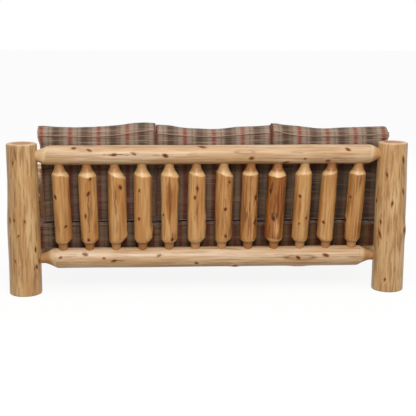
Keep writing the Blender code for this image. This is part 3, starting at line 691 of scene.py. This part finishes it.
for number, knots in enumerate(spindleKnots):
    node = "back_spindle_%02d" % (number + 1)
    place = spaces / 2 - number
    low = seatToWorld((place * bottomPitch, 0.0, 0.0))[0]
    high = seatToWorld((place * topPitch + spindles["topShift"], 0.0, backLength))[0]
    inset = unit(high - low) * spindles["floor"]
    length = np.linalg.norm(high - low) - 2 * spindles["floor"]
    foot = tenonEnd(spindles["tenon"], spindles["footNeck"], spindles["footShoulder"], 1.2, 0.03, 6,
                    tone=spindles["footTone"][number])
    head = tenonEnd(spindles["tenon"], spindles["topNeck"], spindles["topShoulder"], 1.35, 0.02, 5,
                    tone=spindles["headTone"][number])
    makeLog(node, "spindle", low + inset, high - inset, spindles["radius"], logForm["sides"]["spindle"],
            ends=(foot, head), crook=-spindles["crook"][number], waves=0.030,
            knots=knots + strayKnots(node, length, 2, strays["small"]), marks=spindleMarks[number],
            girth=tuple(zip(spindles["girthAt"], spindles["girth"][number])),
            bark=spindles["bark"][number], tint=spindles["tint"][number])
print("back spindles made")


# arms

arms = {
    "tipY": 0.339, "tenon": 0.025, "neck": 0.054, "shoulder": 0.042,
    "arm": {"z": 0.541, "radius": 0.046}, "side_rail": {"z": 0.262, "radius": 0.050},
    "spindleRadius": 0.039, "spindleTenon": 0.021, "spindlePitch": 0.150, "spindleShoulder": 0.040,
    "spindleNeck": 0.004, "spindleCount": 3, "floor": 0.012,
}


def armSpindleEnd(log):
    neck = arms[log]["radius"] - arms["floor"] + arms["spindleNeck"]
    return tenonEnd(arms["spindleTenon"], neck, arms["spindleShoulder"])


for side, sign in (("left", 1), ("right", -1)):
    x = sign * sofa["postX"]
    tenon = tenonEnd(arms["tenon"], arms["neck"], arms["shoulder"], tone=0.9)
    for log in ("arm", "side_rail"):
        node = side + "_" + log
        spec = arms[log]
        piece = makeLog(node, "rail", (x, -arms["tipY"], spec["z"]), (x, arms["tipY"], spec["z"]),
                        spec["radius"] - logForm["shy"], logForm["sides"]["arm"], ends=(tenon, tenon),
                        waves=0.014, knots=strayKnots(node, 2 * arms["tipY"], 5), face=(sign, 0.0, 0.0))
        piece.data.materials[0] = armWood
    low = arms["side_rail"]["z"] + arms["floor"]
    high = arms["arm"]["z"] - arms["floor"]
    for number in range(arms["spindleCount"]):
        node = "%s_arm_spindle_%d" % (side, number + 1)
        y = (number - (arms["spindleCount"] - 1) / 2) * arms["spindlePitch"]
        makeLog(node, "spindle", (x, y, low), (x, y, high), arms["spindleRadius"] - logForm["shy"],
                logForm["sides"]["armSpindle"], ends=(armSpindleEnd("side_rail"), armSpindleEnd("arm")),
                waves=0.022, knots=strayKnots(node, high - low, 2, strays["small"]), face=(sign, 0.0, 0.0))
print("arms made")


# deck boards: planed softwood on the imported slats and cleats

boards = {
    "pale": srgb(222, 194, 150), "dark": srgb(186, 146, 98), "fine": srgb(150, 112, 72), "bump": 0.25,
    # how the grain stretches along X, Y and Z
    "slatGrain": (26.0, 1.8, 26.0), "cleatGrain": (1.8, 26.0, 26.0),
}


def planedWood(name):
    tree, given, out = nodeGroup(name, {"Pale": boards["pale"], "Dark": boards["dark"]}, surfaceOutputs)
    grain = stretched(tree, put(tree, "ShaderNodeTexCoord").outputs["Object"], boards[name])
    bands = noise(tree, grain, 1.0, 4.0, 0.6)
    fine = noise(tree, grain, 6.0, 3.0)
    colour = blend(tree, between(tree, bands, 0.35, 0.65), given["Pale"], given["Dark"])
    colour = blend(tree, calc(tree, "MULTIPLY", fine, 0.35), colour, boards["fine"], "MULTIPLY")
    tree.links.new(colour, out["Color"])
    tree.links.new(calc(tree, "MULTIPLY_ADD", fine, 0.25, 0.48), out["Roughness"])
    tree.links.new(fine, out["Height"])
    return tree


slatWood = surfaceMaterial("slatWood", planedWood("slatGrain"), {}, bump=boards["bump"])
cleatWood = surfaceMaterial("cleatWood", planedWood("cleatGrain"), {}, bump=boards["bump"])
for node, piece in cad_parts.items():
    if node.startswith("deck_slat") or node.endswith("_cleat"):
        piece.data.materials.clear()
        piece.data.materials.append(slatWood if node.startswith("deck_slat") else cleatWood)
print("deck finished")


# plaid cloth: u counts stripe repeats across, v is metres along the weft

plaid = {
    "red": srgb(138, 62, 49), "pale": srgb(158, 138, 122), "grey": srgb(119, 100, 84),
    "dark": srgb(66, 50, 39),
    "weft": srgb(116, 92, 74), "weftRed": srgb(130, 78, 62), "weftPale": srgb(158, 136, 116),
    # the pale colour here serves the weave's pale threads, and on the welt cords a painted highlight
    "line": srgb(68, 52, 40), "paleAndWeltHighlight": srgb(190, 168, 146),
    # painted shade: cloth behind the frame and in the joins between cushions is multiplied by this colour
    "paintedShadeTint": (0.365, 0.238, 0.088, 1.0),   # cloth that the light hasn't reached is multiplied by this
    "crossRepeat": 0.21, "threadsAcross": 900.0, "threadsAlong": 4200.0,
    "lineStretch": (0.9, 115.0, 1.0), "paleStretch": (0.7, 150.0, 3.0),
    # the welts' share of the pale colour is a painted highlight on the cords
    "bump": 0.35, "bumpDepth": 0.0006, "sheen": 0.15, "weltHighlight": 0.30,
}


def stripes(tree, factor, stops):
    node = put(tree, "ShaderNodeValToRGB", {"Fac": factor})
    bands = node.color_ramp.elements
    while len(bands) < len(stops):
        bands.new(1.0)
    for band, (place, colour) in zip(bands, stops):
        band.position = place
        band.color = plaid[colour]
    return node.outputs["Color"]


def buildPlaidWeave():
    tree, given, out = nodeGroup("plaidWeave", {"Fade": 0.0}, surfaceOutputs)
    sheet = put(tree, "ShaderNodeUVMap", uv_map="cloth").outputs["UV"]
    parts = put(tree, "ShaderNodeSeparateXYZ", {0: sheet})
    across = calc(tree, "FRACT", calc(tree, "ADD", parts.outputs["X"], 100.5))
    rise = parts.outputs["Y"]
    warp = stripes(tree, across, (
        (0.00, "dark"), (0.07, "dark"), (0.13, "grey"), (0.20, "pale"), (0.24, "grey"), (0.30, "pale"),
        (0.39, "pale"), (0.47, "red"), (0.53, "red"), (0.61, "pale"), (0.70, "pale"), (0.76, "grey"),
        (0.84, "grey"), (0.93, "dark"), (1.00, "dark")))
    along = calc(tree, "FRACT", calc(tree, "ADD", calc(tree, "DIVIDE", rise, plaid["crossRepeat"]), 100.0))
    weft = stripes(tree, along, (
        (0.00, "weft"), (0.20, "weft"), (0.24, "weftRed"), (0.36, "weftRed"), (0.40, "weftPale"),
        (0.46, "weftPale"), (0.50, "weft"), (0.72, "line"), (0.90, "line"), (1.00, "weft")))
    colour = blend(tree, 0.28, warp, weft)
    lines = between(tree, noise(tree, stretched(tree, sheet, plaid["lineStretch"]), 1.0, 2.0), 0.50, 0.66)
    colour = blend(tree, calc(tree, "MULTIPLY", lines, 0.52), colour, plaid["line"])
    pale = between(tree, noise(tree, stretched(tree, sheet, plaid["paleStretch"]), 1.0, 2.0), 0.55, 0.70)
    colour = blend(tree, calc(tree, "MULTIPLY", pale, 0.46), colour, plaid["paleAndWeltHighlight"])
    threadAcross = calc(tree, "SINE", calc(tree, "MULTIPLY", parts.outputs["X"], plaid["threadsAcross"]))
    threadAlong = calc(tree, "SINE", calc(tree, "MULTIPLY", rise, plaid["threadsAlong"]))
    weave = calc(tree, "MULTIPLY", threadAcross, threadAlong)
    colour = blend(tree, calc(tree, "MULTIPLY_ADD", weave, 0.06, 0.06), colour, plaid["dark"])
    # painted highlight: the welt cords' cloth is blended toward the pale colour
    colour = blend(tree, given["Fade"], colour, plaid["paleAndWeltHighlight"])
    # painted shade: cloth behind the frame and in the joins is multiplied darker and browner
    colour = blend(tree, attribute(tree, "paintedShade"), colour, plaid["paintedShadeTint"], "MULTIPLY")
    tree.links.new(colour, out["Color"])
    tree.links.new(calc(tree, "ADD", 0.86, calc(tree, "MULTIPLY", lines, 0.08)), out["Roughness"])
    tree.links.new(calc(tree, "MULTIPLY_ADD", weave, 0.5, calc(tree, "MULTIPLY", lines, 0.4)), out["Height"])
    return tree


plaidWeave = buildPlaidWeave()
clothFeel = {key: plaid[key] for key in ("bump", "bumpDepth", "sheen")}
plaidCloth = surfaceMaterial("plaidCloth", plaidWeave, {}, **clothFeel)
# welt cords: the plaid with a painted highlight, blended paler
weltCloth = surfaceMaterial("weltCloth", plaidWeave, {"Fade": plaid["weltHighlight"]}, **clothFeel)


# cushions: a cut box, filled by cloth pressure between its sewn seams; worked out in the seat frame

cushions = {
    "voxel": 0.0095, "pressure": 4.0, "frames": 20, "cap": 0.026, "seamGrip": 0.008,
    "weltRadius": 0.0042, "weltStand": 0.0012, "loopSteps": 44,
    "rearLimit": -0.0545, "deckTop": 0.0333, "seatTop": 0.1873, "standGap": 0.0004,
    "repeats": 4, "repeatLength": 0.16, "onEnd": 0.75,
    "quality": 2, "mass": 0.3, "stiffness": 18, "bending": 0.6,
    "postGap": 0.004,
    # painted shade on the cloth: how deep behind the rear seam and below its top it fades in, then the
    # painted crease shade at a join
    "shadeReach": 0.045, "shadeFadeIn": 0.06, "creaseShadeReach": 0.009, "creaseShadeStart": 1.35, "creaseShadeDark": 0.95,
}


def cutBox(cuts):
    box = bmesh.new()
    bmesh.ops.create_cube(box, size=2.0)
    for axis, count in enumerate(cuts):
        normal = Vector((0.0, 0.0, 0.0))
        normal[axis] = 1.0
        for step in range(1, count):
            bmesh.ops.bisect_plane(box, geom=box.verts[:] + box.edges[:] + box.faces[:],
                                   plane_co=normal * (2 * step / count - 1), plane_no=normal)
    return meshFrom("cut", box)


def squareLoop():
    # round the edge of a square that runs from -1 to 1
    run = np.linspace(-1.0, 1.0, cushions["loopSteps"], endpoint=False)
    one = np.ones(len(run))
    return np.concatenate((run, one, -run, -one)), np.concatenate((-one, run, one, -run))


def evenMesh(piece):
    even = piece.modifiers.new("even", "REMESH")
    even.mode = "VOXEL"
    even.voxel_size = cushions["voxel"]
    result = bpy.data.meshes.new_from_object(piece.evaluated_get(bpy.context.evaluated_depsgraph_get()))
    piece.modifiers.clear()
    old = piece.data
    piece.data = result
    bpy.data.meshes.remove(old)


def fillCushion(piece, seams):
    # pressure swells the panels, the sewn seams hold
    mesh = piece.data
    rest = readPoints(mesh)
    stitches = np.concatenate(seams)
    tree = KDTree(len(stitches))
    for index, stitch in enumerate(stitches):
        tree.insert(stitch, index)
    tree.balance()
    group = piece.vertex_groups.new(name="seam")
    for index, point in enumerate(rest):
        grip = 1.0 - tree.find(point)[2] / cushions["seamGrip"]
        if grip > 0:
            group.add([index], min(1.0, 2 * grip), "REPLACE")
    cloth = piece.modifiers.new("fill", "CLOTH")
    cloth.settings.quality = cushions["quality"]
    cloth.settings.mass = cushions["mass"]
    cloth.settings.use_pressure = True
    cloth.settings.uniform_pressure_force = cushions["pressure"]
    cloth.settings.effector_weights.gravity = 0.0
    cloth.settings.vertex_group_mass = "seam"
    cloth.settings.tension_stiffness = cushions["stiffness"]
    cloth.settings.compression_stiffness = cushions["stiffness"]
    cloth.settings.bending_stiffness = cushions["bending"]
    cloth.point_cache.frame_start = 1
    cloth.point_cache.frame_end = cushions["frames"]
    for step in range(1, cushions["frames"] + 1):
        scene.frame_set(step)
    shaped = piece.evaluated_get(bpy.context.evaluated_depsgraph_get())
    moved = readPoints(shaped.to_mesh()) - rest
    shaped.to_mesh_clear()
    piece.modifiers.clear()
    piece.vertex_groups.clear()
    scene.frame_set(1)
    far = np.linalg.norm(moved, axis=1)
    moved *= np.minimum(1.0, cushions["cap"] / np.maximum(far, 1e-9))[:, None]
    writePoints(mesh, rest + moved)


def clothMap(mesh, edges, rear):
    # panels and borders are cut on the same stripes, which run on round the corners
    high, low = edges
    points = readPoints(mesh)
    layer = mesh.uv_layers.new(name="cloth")
    corners = np.empty(len(mesh.loops), dtype=np.int64)
    mesh.loops.foreach_get("vertex_index", corners)
    normals = np.empty(len(mesh.polygons) * 3)
    mesh.polygons.foreach_get("normal", normals)
    counts = np.empty(len(mesh.polygons), dtype=np.int64)
    mesh.polygons.foreach_get("loop_total", counts)
    normals = np.repeat(normals.reshape(-1, 3), counts, axis=0)
    x, y, z = points[corners].T
    onEnd = np.abs(normals[:, 0]) > cushions["onEnd"]
    u = (x - low) / (high - low) * cushions["repeats"]
    u = np.where(onEnd, u + np.sign(normals[:, 0]) * (rear - y) / cushions["repeatLength"], u)
    v = np.where(onEnd, z, z + rear - y)
    layer.data.foreach_set("uv", np.column_stack((u, v)).astype(np.float32).ravel())


def markPaintedShade(mesh, rear, top, depth, joins=()):
    # painted shade: cloth behind the frame and in the joins between cushions is darkened and browned
    x, y, z = readPoints(mesh).T
    behind = np.clip((y - rear) / cushions["shadeReach"] + 1.0, 0, 1)
    below = np.clip((top - z) / cushions["shadeFadeIn"], 0, 1)
    mask = behind * below * np.clip(depth[0] - depth[1] * x, 0, 1)
    # painted crease shade along each join between cushions
    for join in joins:
        near = cushions["creaseShadeStart"] - np.abs(x - join) / cushions["creaseShadeReach"]
        mask = np.maximum(mask, np.clip(near, 0, cushions["creaseShadeDark"]))
    writeMask(mesh, "paintedShade", mask)


def clearOfPosts(points):
    lean = sofa["lean"]
    gap = cushions["postGap"]
    world = seatToWorld(points)
    for sign in (1, -1):
        for way, top in ((1, sofa["rearHeight"]), (-1, sofa["frontHeight"])):
            dx = world[:, 0] - sign * sofa["postX"]
            dy = world[:, 1] - way * sofa["postY"]
            away = np.hypot(dx, dy)
            need = np.maximum(sofa["postRadius"] + gap - away, 0.0) * (world[:, 2] < top + gap)
            world[:, 0] += dx / np.maximum(away, 1e-6) * need
            world[:, 1] += dy / np.maximum(away, 1e-6) * need
    y = world[:, 1] - sofa["bottomRail"]["y"]
    z = world[:, 2] - sofa["bottomRail"]["z"]
    return np.column_stack((world[:, 0], y * math.cos(lean) - z * math.sin(lean),
                            y * math.sin(lean) + z * math.cos(lean)))


def dressCloth(mesh, material, edges, rear, shadeLayout):
    # stripes and painted shade are laid out in the seat frame, then the cloth goes to its place
    clothMap(mesh, edges, rear)
    markPaintedShade(mesh, rear, *shadeLayout)
    writePoints(mesh, seatToWorld(readPoints(mesh)))
    mesh.shade_smooth()
    mesh.materials.clear()
    mesh.materials.append(material)


def weltCord(name, cover, seam, keep, edges, rear, shadeLayout, cushion):
    # a covered cord sewn in the seam, lying on the cushion's own surface
    for turn in range(2):
        seam = (np.roll(seam, 1, axis=0) + 2 * seam + np.roll(seam, -1, axis=0)) / 4
    hits = []
    for point in seam:
        spot, normal, face, far = cover.find_nearest(Vector(point))
        hits.append(spot + normal * cushions["weltStand"])
    hits = keep(np.array(hits), cushions["weltRadius"])
    curve = bpy.data.curves.new(name, "CURVE")
    curve.dimensions = "3D"
    curve.bevel_depth = cushions["weltRadius"]
    curve.bevel_resolution = 2
    spline = curve.splines.new("POLY")
    spline.points.add(len(hits) - 1)
    for point, spot in zip(spline.points, hits):
        point.co = (*spot, 1.0)
    spline.use_cyclic_u = True
    loose = bpy.data.objects.new(name, curve)
    mesh = bpy.data.meshes.new_from_object(loose)
    bpy.data.objects.remove(loose)
    bpy.data.curves.remove(curve)
    cord = bmesh.new()
    cord.from_mesh(mesh)
    bmesh.ops.remove_doubles(cord, verts=cord.verts, dist=0.00001)
    bmesh.ops.recalc_face_normals(cord, faces=cord.faces)
    cord.to_mesh(mesh)
    cord.free()
    for layer in list(mesh.uv_layers):
        mesh.uv_layers.remove(layer)
    dressCloth(mesh, weltCloth, edges, rear, shadeLayout)
    welt = addObject(name, mesh)
    welt.parent = cushion


def makeCushion(node, body, cuts, shape, seams, keep, edges, rear, shadeLayout):
    piece = addObject(node + "_cover", cutBox(cuts))
    writePoints(piece.data, shape(*readPoints(piece.data).T))
    evenMesh(piece)
    fillCushion(piece, list(seams.values()))
    mesh = piece.data
    points = clearOfPosts(keep(readPoints(mesh), 0.0))
    writePoints(mesh, points)
    cover = BVHTree.FromPolygons([tuple(point) for point in points],
                                 [tuple(face.vertices) for face in mesh.polygons])
    dressCloth(mesh, plaidCloth, edges, rear, shadeLayout)
    smooth = piece.modifiers.new("soft", "SUBSURF")
    smooth.levels = 1
    smooth.render_levels = 1
    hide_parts(node)
    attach(piece, body)
    for label, seam in seams.items():
        weltCord(node + "_" + label, cover, seam, keep, edges, rear, shadeLayout, piece)


backCushions = {
    "border": 0.110, "rearSeam": -0.0873, "panelCrown": 0.008, "foot": 0.1877, "earSpread": 0.050,
    # painted shade on the cloth behind the frame: the height at which it is gone, how dark it is at x = 0,
    # and how much darker per metre toward -X
    "cuts": (20, 6, 18), "fill": 0.7, "shadeLayout": (0.62, (0.54, 0.0)),
    # at the +X side, then the -X side: edges at the top, how far each draws in by the foot, how far the rear
    # draws back from its neighbour, ears that stand out and the room left for them;
    # then places along X, the rear seam's height at each and the crest's
    "left": {"edges": (0.921, 0.2915), "drawIn": (0.003, 0.0), "pinch": (0.0, 0.0045),
             "ear": (0.022, 0.0), "room": (0.030, 0.0), "earRise": 0.015,
             "x": (0.29, 0.35, 0.42, 0.49, 0.57, 0.64, 0.73, 0.85, 0.905, 0.94),
             "seam": (0.906, 0.900, 0.890, 0.878, 0.871, 0.868, 0.869, 0.873, 0.875, 0.877),
             "crest": (0.936, 0.941, 0.939, 0.929, 0.923, 0.919, 0.916, 0.919, 0.925, 0.921)},
    "middle": {"edges": (0.2905, -0.3525), "drawIn": (0.0, 0.0), "pinch": (0.0045, 0.0040),
               "ear": (0.0, 0.0), "room": (0.0, 0.0), "earRise": 0.0,
               "x": (-0.355, -0.28, -0.22, -0.16, -0.09, -0.04, 0.01, 0.07, 0.125, 0.17, 0.21, 0.29),
               "seam": (0.888, 0.886, 0.881, 0.874, 0.870, 0.867, 0.866, 0.868, 0.871, 0.875, 0.879, 0.887),
               "crest": (0.924, 0.918, 0.917, 0.915, 0.906, 0.902, 0.904, 0.907, 0.910, 0.916, 0.925, 0.929)},
    "right": {"edges": (-0.3535, -0.985), "drawIn": (0.0, 0.016), "pinch": (0.0040, 0.0),
              "ear": (0.0, 0.030), "room": (0.0, 0.045), "earRise": -0.004,
              "x": (-0.99, -0.90, -0.75, -0.67, -0.61, -0.51, -0.45, -0.415, -0.375, -0.35),
              "seam": (0.880, 0.873, 0.871, 0.868, 0.866, 0.869, 0.878, 0.889, 0.897, 0.901),
              "crest": (0.916, 0.914, 0.910, 0.905, 0.907, 0.920, 0.925, 0.928, 0.936, 0.933)},
}


def makeBackCushion(side):
    spec = backCushions[side]
    high, low = spec["edges"]
    middle = (high + low) / 2
    half = (high - low + cushions["voxel"]) / 2
    rear = backCushions["rearSeam"]
    border = backCushions["border"]
    foot = backCushions["foot"]
    lean = sofa["lean"]

    def seatHeight(height, y):
        return (height - sofa["bottomRail"]["z"] + y * math.sin(lean)) / math.cos(lean)

    def shape(p, q, t):
        pinch = np.where(p > 0, *spec["pinch"]) * np.maximum(q, 0)
        x = middle + p * (half - np.where(p > 0, *spec["drawIn"]) * (1 - t) / 2 - pinch)
        top = seatHeight(np.interp(x, spec["x"], spec["seam"]), rear)
        crest = seatHeight(np.interp(x, spec["x"], spec["crest"]), rear - border / 2)
        z = foot + (top - foot) * (t + 1) / 2 + np.maximum(t, 0) ** 6 * (crest - top) * (1 - q ** 2)
        ear = np.where(p > 0, spec["ear"][0], -spec["ear"][1])
        x = x + ear * np.abs(p) ** 4 * np.exp(-((z - top - spec["earRise"]) / backCushions["earSpread"]) ** 2)
        y = rear - border / 2 + q * (border / 2 + backCushions["panelCrown"] * (1 - p ** 2) * (1 - t ** 2))
        return np.column_stack((x, y, z))

    def keep(points, margin):
        points[:, 0] = np.clip(points[:, 0], low + margin - spec["room"][1], high - margin + spec["room"][0])
        points[:, 1] = np.minimum(points[:, 1], cushions["rearLimit"] - margin)
        points[:, 2] = np.maximum(points[:, 2], cushions["seatTop"] + cushions["standGap"] + margin)
        return points

    p, t = squareLoop()
    seams = {"rear_welt": shape(p, np.ones(len(p)), t), "front_welt": shape(p, -np.ones(len(p)), t)}
    # edges that meet a neighbour get painted crease shade
    joins = [edge for edge, pinch in zip(spec["edges"], spec["pinch"]) if pinch]
    makeCushion(side + "_back_cushion", side + "_back", backCushions["cuts"], shape, seams, keep,
                spec["edges"], rear, (*backCushions["shadeLayout"], joins))


seatCushions = {
    "rear": -0.0600, "depth": 0.688, "edgeHeight": 0.1315, "drawIn": 0.010, "crown": 0.010, "give": 0.001,
    # painted shade on the cloth behind the frame: the height at which it is gone, how dark it is at x = 0,
    # and how much darker per metre toward -X
    "cuts": (18, 18, 6), "fill": 0.8, "shadeLayout": (0.40, (0.80, 0.22)),
    # edges at the +X and the -X side, and how far the foam swells past the front posts' gap behind them
    "left": {"edges": (0.9340, 0.3125), "swell": (0.008, 0.0)},
    "middle": {"edges": (0.3115, -0.3115), "swell": (0.0, 0.0)},
    "right": {"edges": (-0.3125, -0.9340), "swell": (0.0, 0.022)},
}


def makeSeatCushion(side):
    spec = seatCushions
    high, low = spec[side]["edges"]
    swellHigh, swellLow = spec[side]["swell"]
    middle = (high + low) / 2
    half = (high - low + cushions["voxel"]) / 2
    rear = spec["rear"]
    depth = spec["depth"]
    floor = cushions["deckTop"] + cushions["standGap"]

    def shape(p, q, t):
        swell = np.where(p > 0, swellHigh, swellLow) * np.clip(q + 0.4, 0, 1)
        x = middle + p * (half + swell)
        y = rear - depth / 2 + q * (depth / 2 - spec["drawIn"] * (1 - p ** 2) * (q < 0))
        crown = spec["crown"] * (1 - p ** 2) * (1 - np.clip(-q, 0, 1) ** 2) * np.maximum(t, 0)
        z = floor + (t + 1) / 2 * spec["edgeHeight"] + crown
        return np.column_stack((x, y, z))

    def keep(points, margin):
        share = np.clip((points[:, 1] - rear + depth) / depth * 2 - 0.6, 0, 1)
        points[:, 0] = np.clip(points[:, 0], low - spec["give"] + margin - swellLow * share,
                               high + spec["give"] - margin + swellHigh * share)
        points[:, 1] = np.minimum(points[:, 1], cushions["rearLimit"] - margin)
        points[:, 2] = np.clip(points[:, 2], floor + margin, cushions["seatTop"] - margin)
        return points

    p, q = squareLoop()
    seams = {"top_welt": shape(p, q, np.ones(len(p))), "low_welt": shape(p, q, -np.ones(len(p)))}
    makeCushion(side + "_seat_cushion", side + "_seat", spec["cuts"], shape, seams, keep,
                spec[side]["edges"], rear, spec["shadeLayout"])


for side in ("left", "middle", "right"):
    makeSeatCushion(side)
    makeBackCushion(side)
    print(side, "cushions filled")


# stage: pale floor, soft light, camera behind the sofa

stage = {
    "cameraAt": (0.344, 5.808, 1.582), "pitch": 11.48, "yaw": 3.57, "roll": 0.29,
    "focalPixels": 1000.0, "imagePixels": 416, "sensor": 36.0,
    "floorSize": 60.0, "floorDrop": 0.0005, "worldLight": 0.34,
    # the floor as the logs and cushions see it, as the camera sees it, and how much of that glows
    "floorBounce": (0.45, 0.40, 0.30, 1.0), "floorPale": (0.92, 0.92, 0.92, 1.0), "floorWhite": 0.90,
    "keyLamp": {"place": (0.1, 4.2, 3.4), "target": (0.0, 0.3, 0.5), "size": 2.0, "power": 135.0},
    "frontLamp": {"place": (-0.6, -4.4, 2.8), "target": (0.0, -0.2, 0.5), "size": 2.4, "power": 60.0},
    "topLight": {"toward": (0.0, 0.5, 1.0), "spread": 70.0, "power": 1.26},
}
white = (1.0, 1.0, 1.0, 1.0)


def placeCamera():
    pitch, yaw, roll = (math.radians(stage[key]) for key in ("pitch", "yaw", "roll"))
    forward = Vector((-math.sin(yaw) * math.cos(pitch), -math.cos(yaw) * math.cos(pitch), -math.sin(pitch)))
    right = Vector((-math.cos(yaw), math.sin(yaw), 0.0))
    up = right.cross(forward)
    turnedRight = right * math.cos(roll) + up * math.sin(roll)
    turnedUp = up * math.cos(roll) - right * math.sin(roll)
    lens = bpy.data.cameras.new("camera")
    lens.sensor_width = stage["sensor"]
    lens.lens = stage["focalPixels"] / stage["imagePixels"] * stage["sensor"]
    camera = addObject("camera", lens)
    turn = Matrix((turnedRight, turnedUp, -forward)).transposed().to_4x4()
    camera.matrix_world = Matrix.Translation(stage["cameraAt"]) @ turn
    scene.camera = camera


def seenDirectly(tree):
    paths = put(tree, "ShaderNodeLightPath").outputs
    direct = calc(tree, "MAXIMUM", paths["Is Camera Ray"], paths["Is Glossy Ray"])
    return calc(tree, "MAXIMUM", direct, paths["Is Transmission Ray"])


def makeFloor():
    shape = bmesh.new()
    bmesh.ops.create_grid(shape, x_segments=1, y_segments=1, size=stage["floorSize"] / 2)
    mesh = meshFrom("floor", shape)
    material = bpy.data.materials.new("paleFloor")
    material.use_nodes = True
    tree = material.node_tree
    tree.nodes.remove(tree.nodes["Principled BSDF"])
    direct = seenDirectly(tree)
    tone = blend(tree, direct, stage["floorBounce"], stage["floorPale"])
    matte = put(tree, "ShaderNodeBsdfDiffuse", {"Color": tone})
    glow = put(tree, "ShaderNodeEmission", {"Color": white, "Strength": 1.0})
    share = calc(tree, "MULTIPLY", direct, stage["floorWhite"])
    mix = put(tree, "ShaderNodeMixShader", {0: share, 1: matte.outputs[0], 2: glow.outputs[0]})
    tree.links.new(mix.outputs[0], tree.nodes["Material Output"].inputs["Surface"])
    mesh.materials.append(material)
    floor = addObject("floor", mesh)
    floor.location.z = -stage["floorDrop"]


def makeWorld():
    world = bpy.data.worlds.new("studio")
    world.use_nodes = True
    tree = world.node_tree
    surface = tree.nodes["Background"]
    level = calc(tree, "MULTIPLY_ADD", seenDirectly(tree), 1.0 - stage["worldLight"], stage["worldLight"])
    surface.inputs["Color"].default_value = white
    tree.links.new(level, surface.inputs["Strength"])
    scene.world = world


def addLight(name, lamp, toward, place=(0.0, 0.0, 0.0)):
    turn = Vector(toward).to_track_quat("Z", "Y").to_matrix().to_4x4()
    addObject(name, lamp).matrix_world = Matrix.Translation(place) @ turn


def makeLamp(name):
    spec = stage[name]
    lamp = bpy.data.lights.new(name, "AREA")
    lamp.shape = "DISK"
    lamp.size = spec["size"]
    lamp.energy = spec["power"]
    addLight(name, lamp, Vector(spec["place"]) - Vector(spec["target"]), spec["place"])


def makeSun(name):
    lamp = bpy.data.lights.new(name, "SUN")
    lamp.angle = math.radians(stage[name]["spread"])
    lamp.energy = stage[name]["power"]
    addLight(name, lamp, stage[name]["toward"])


placeCamera()
makeFloor()
makeWorld()
makeLamp("keyLamp")
makeLamp("frontLamp")
makeSun("topLight")

print("sofa dressed")
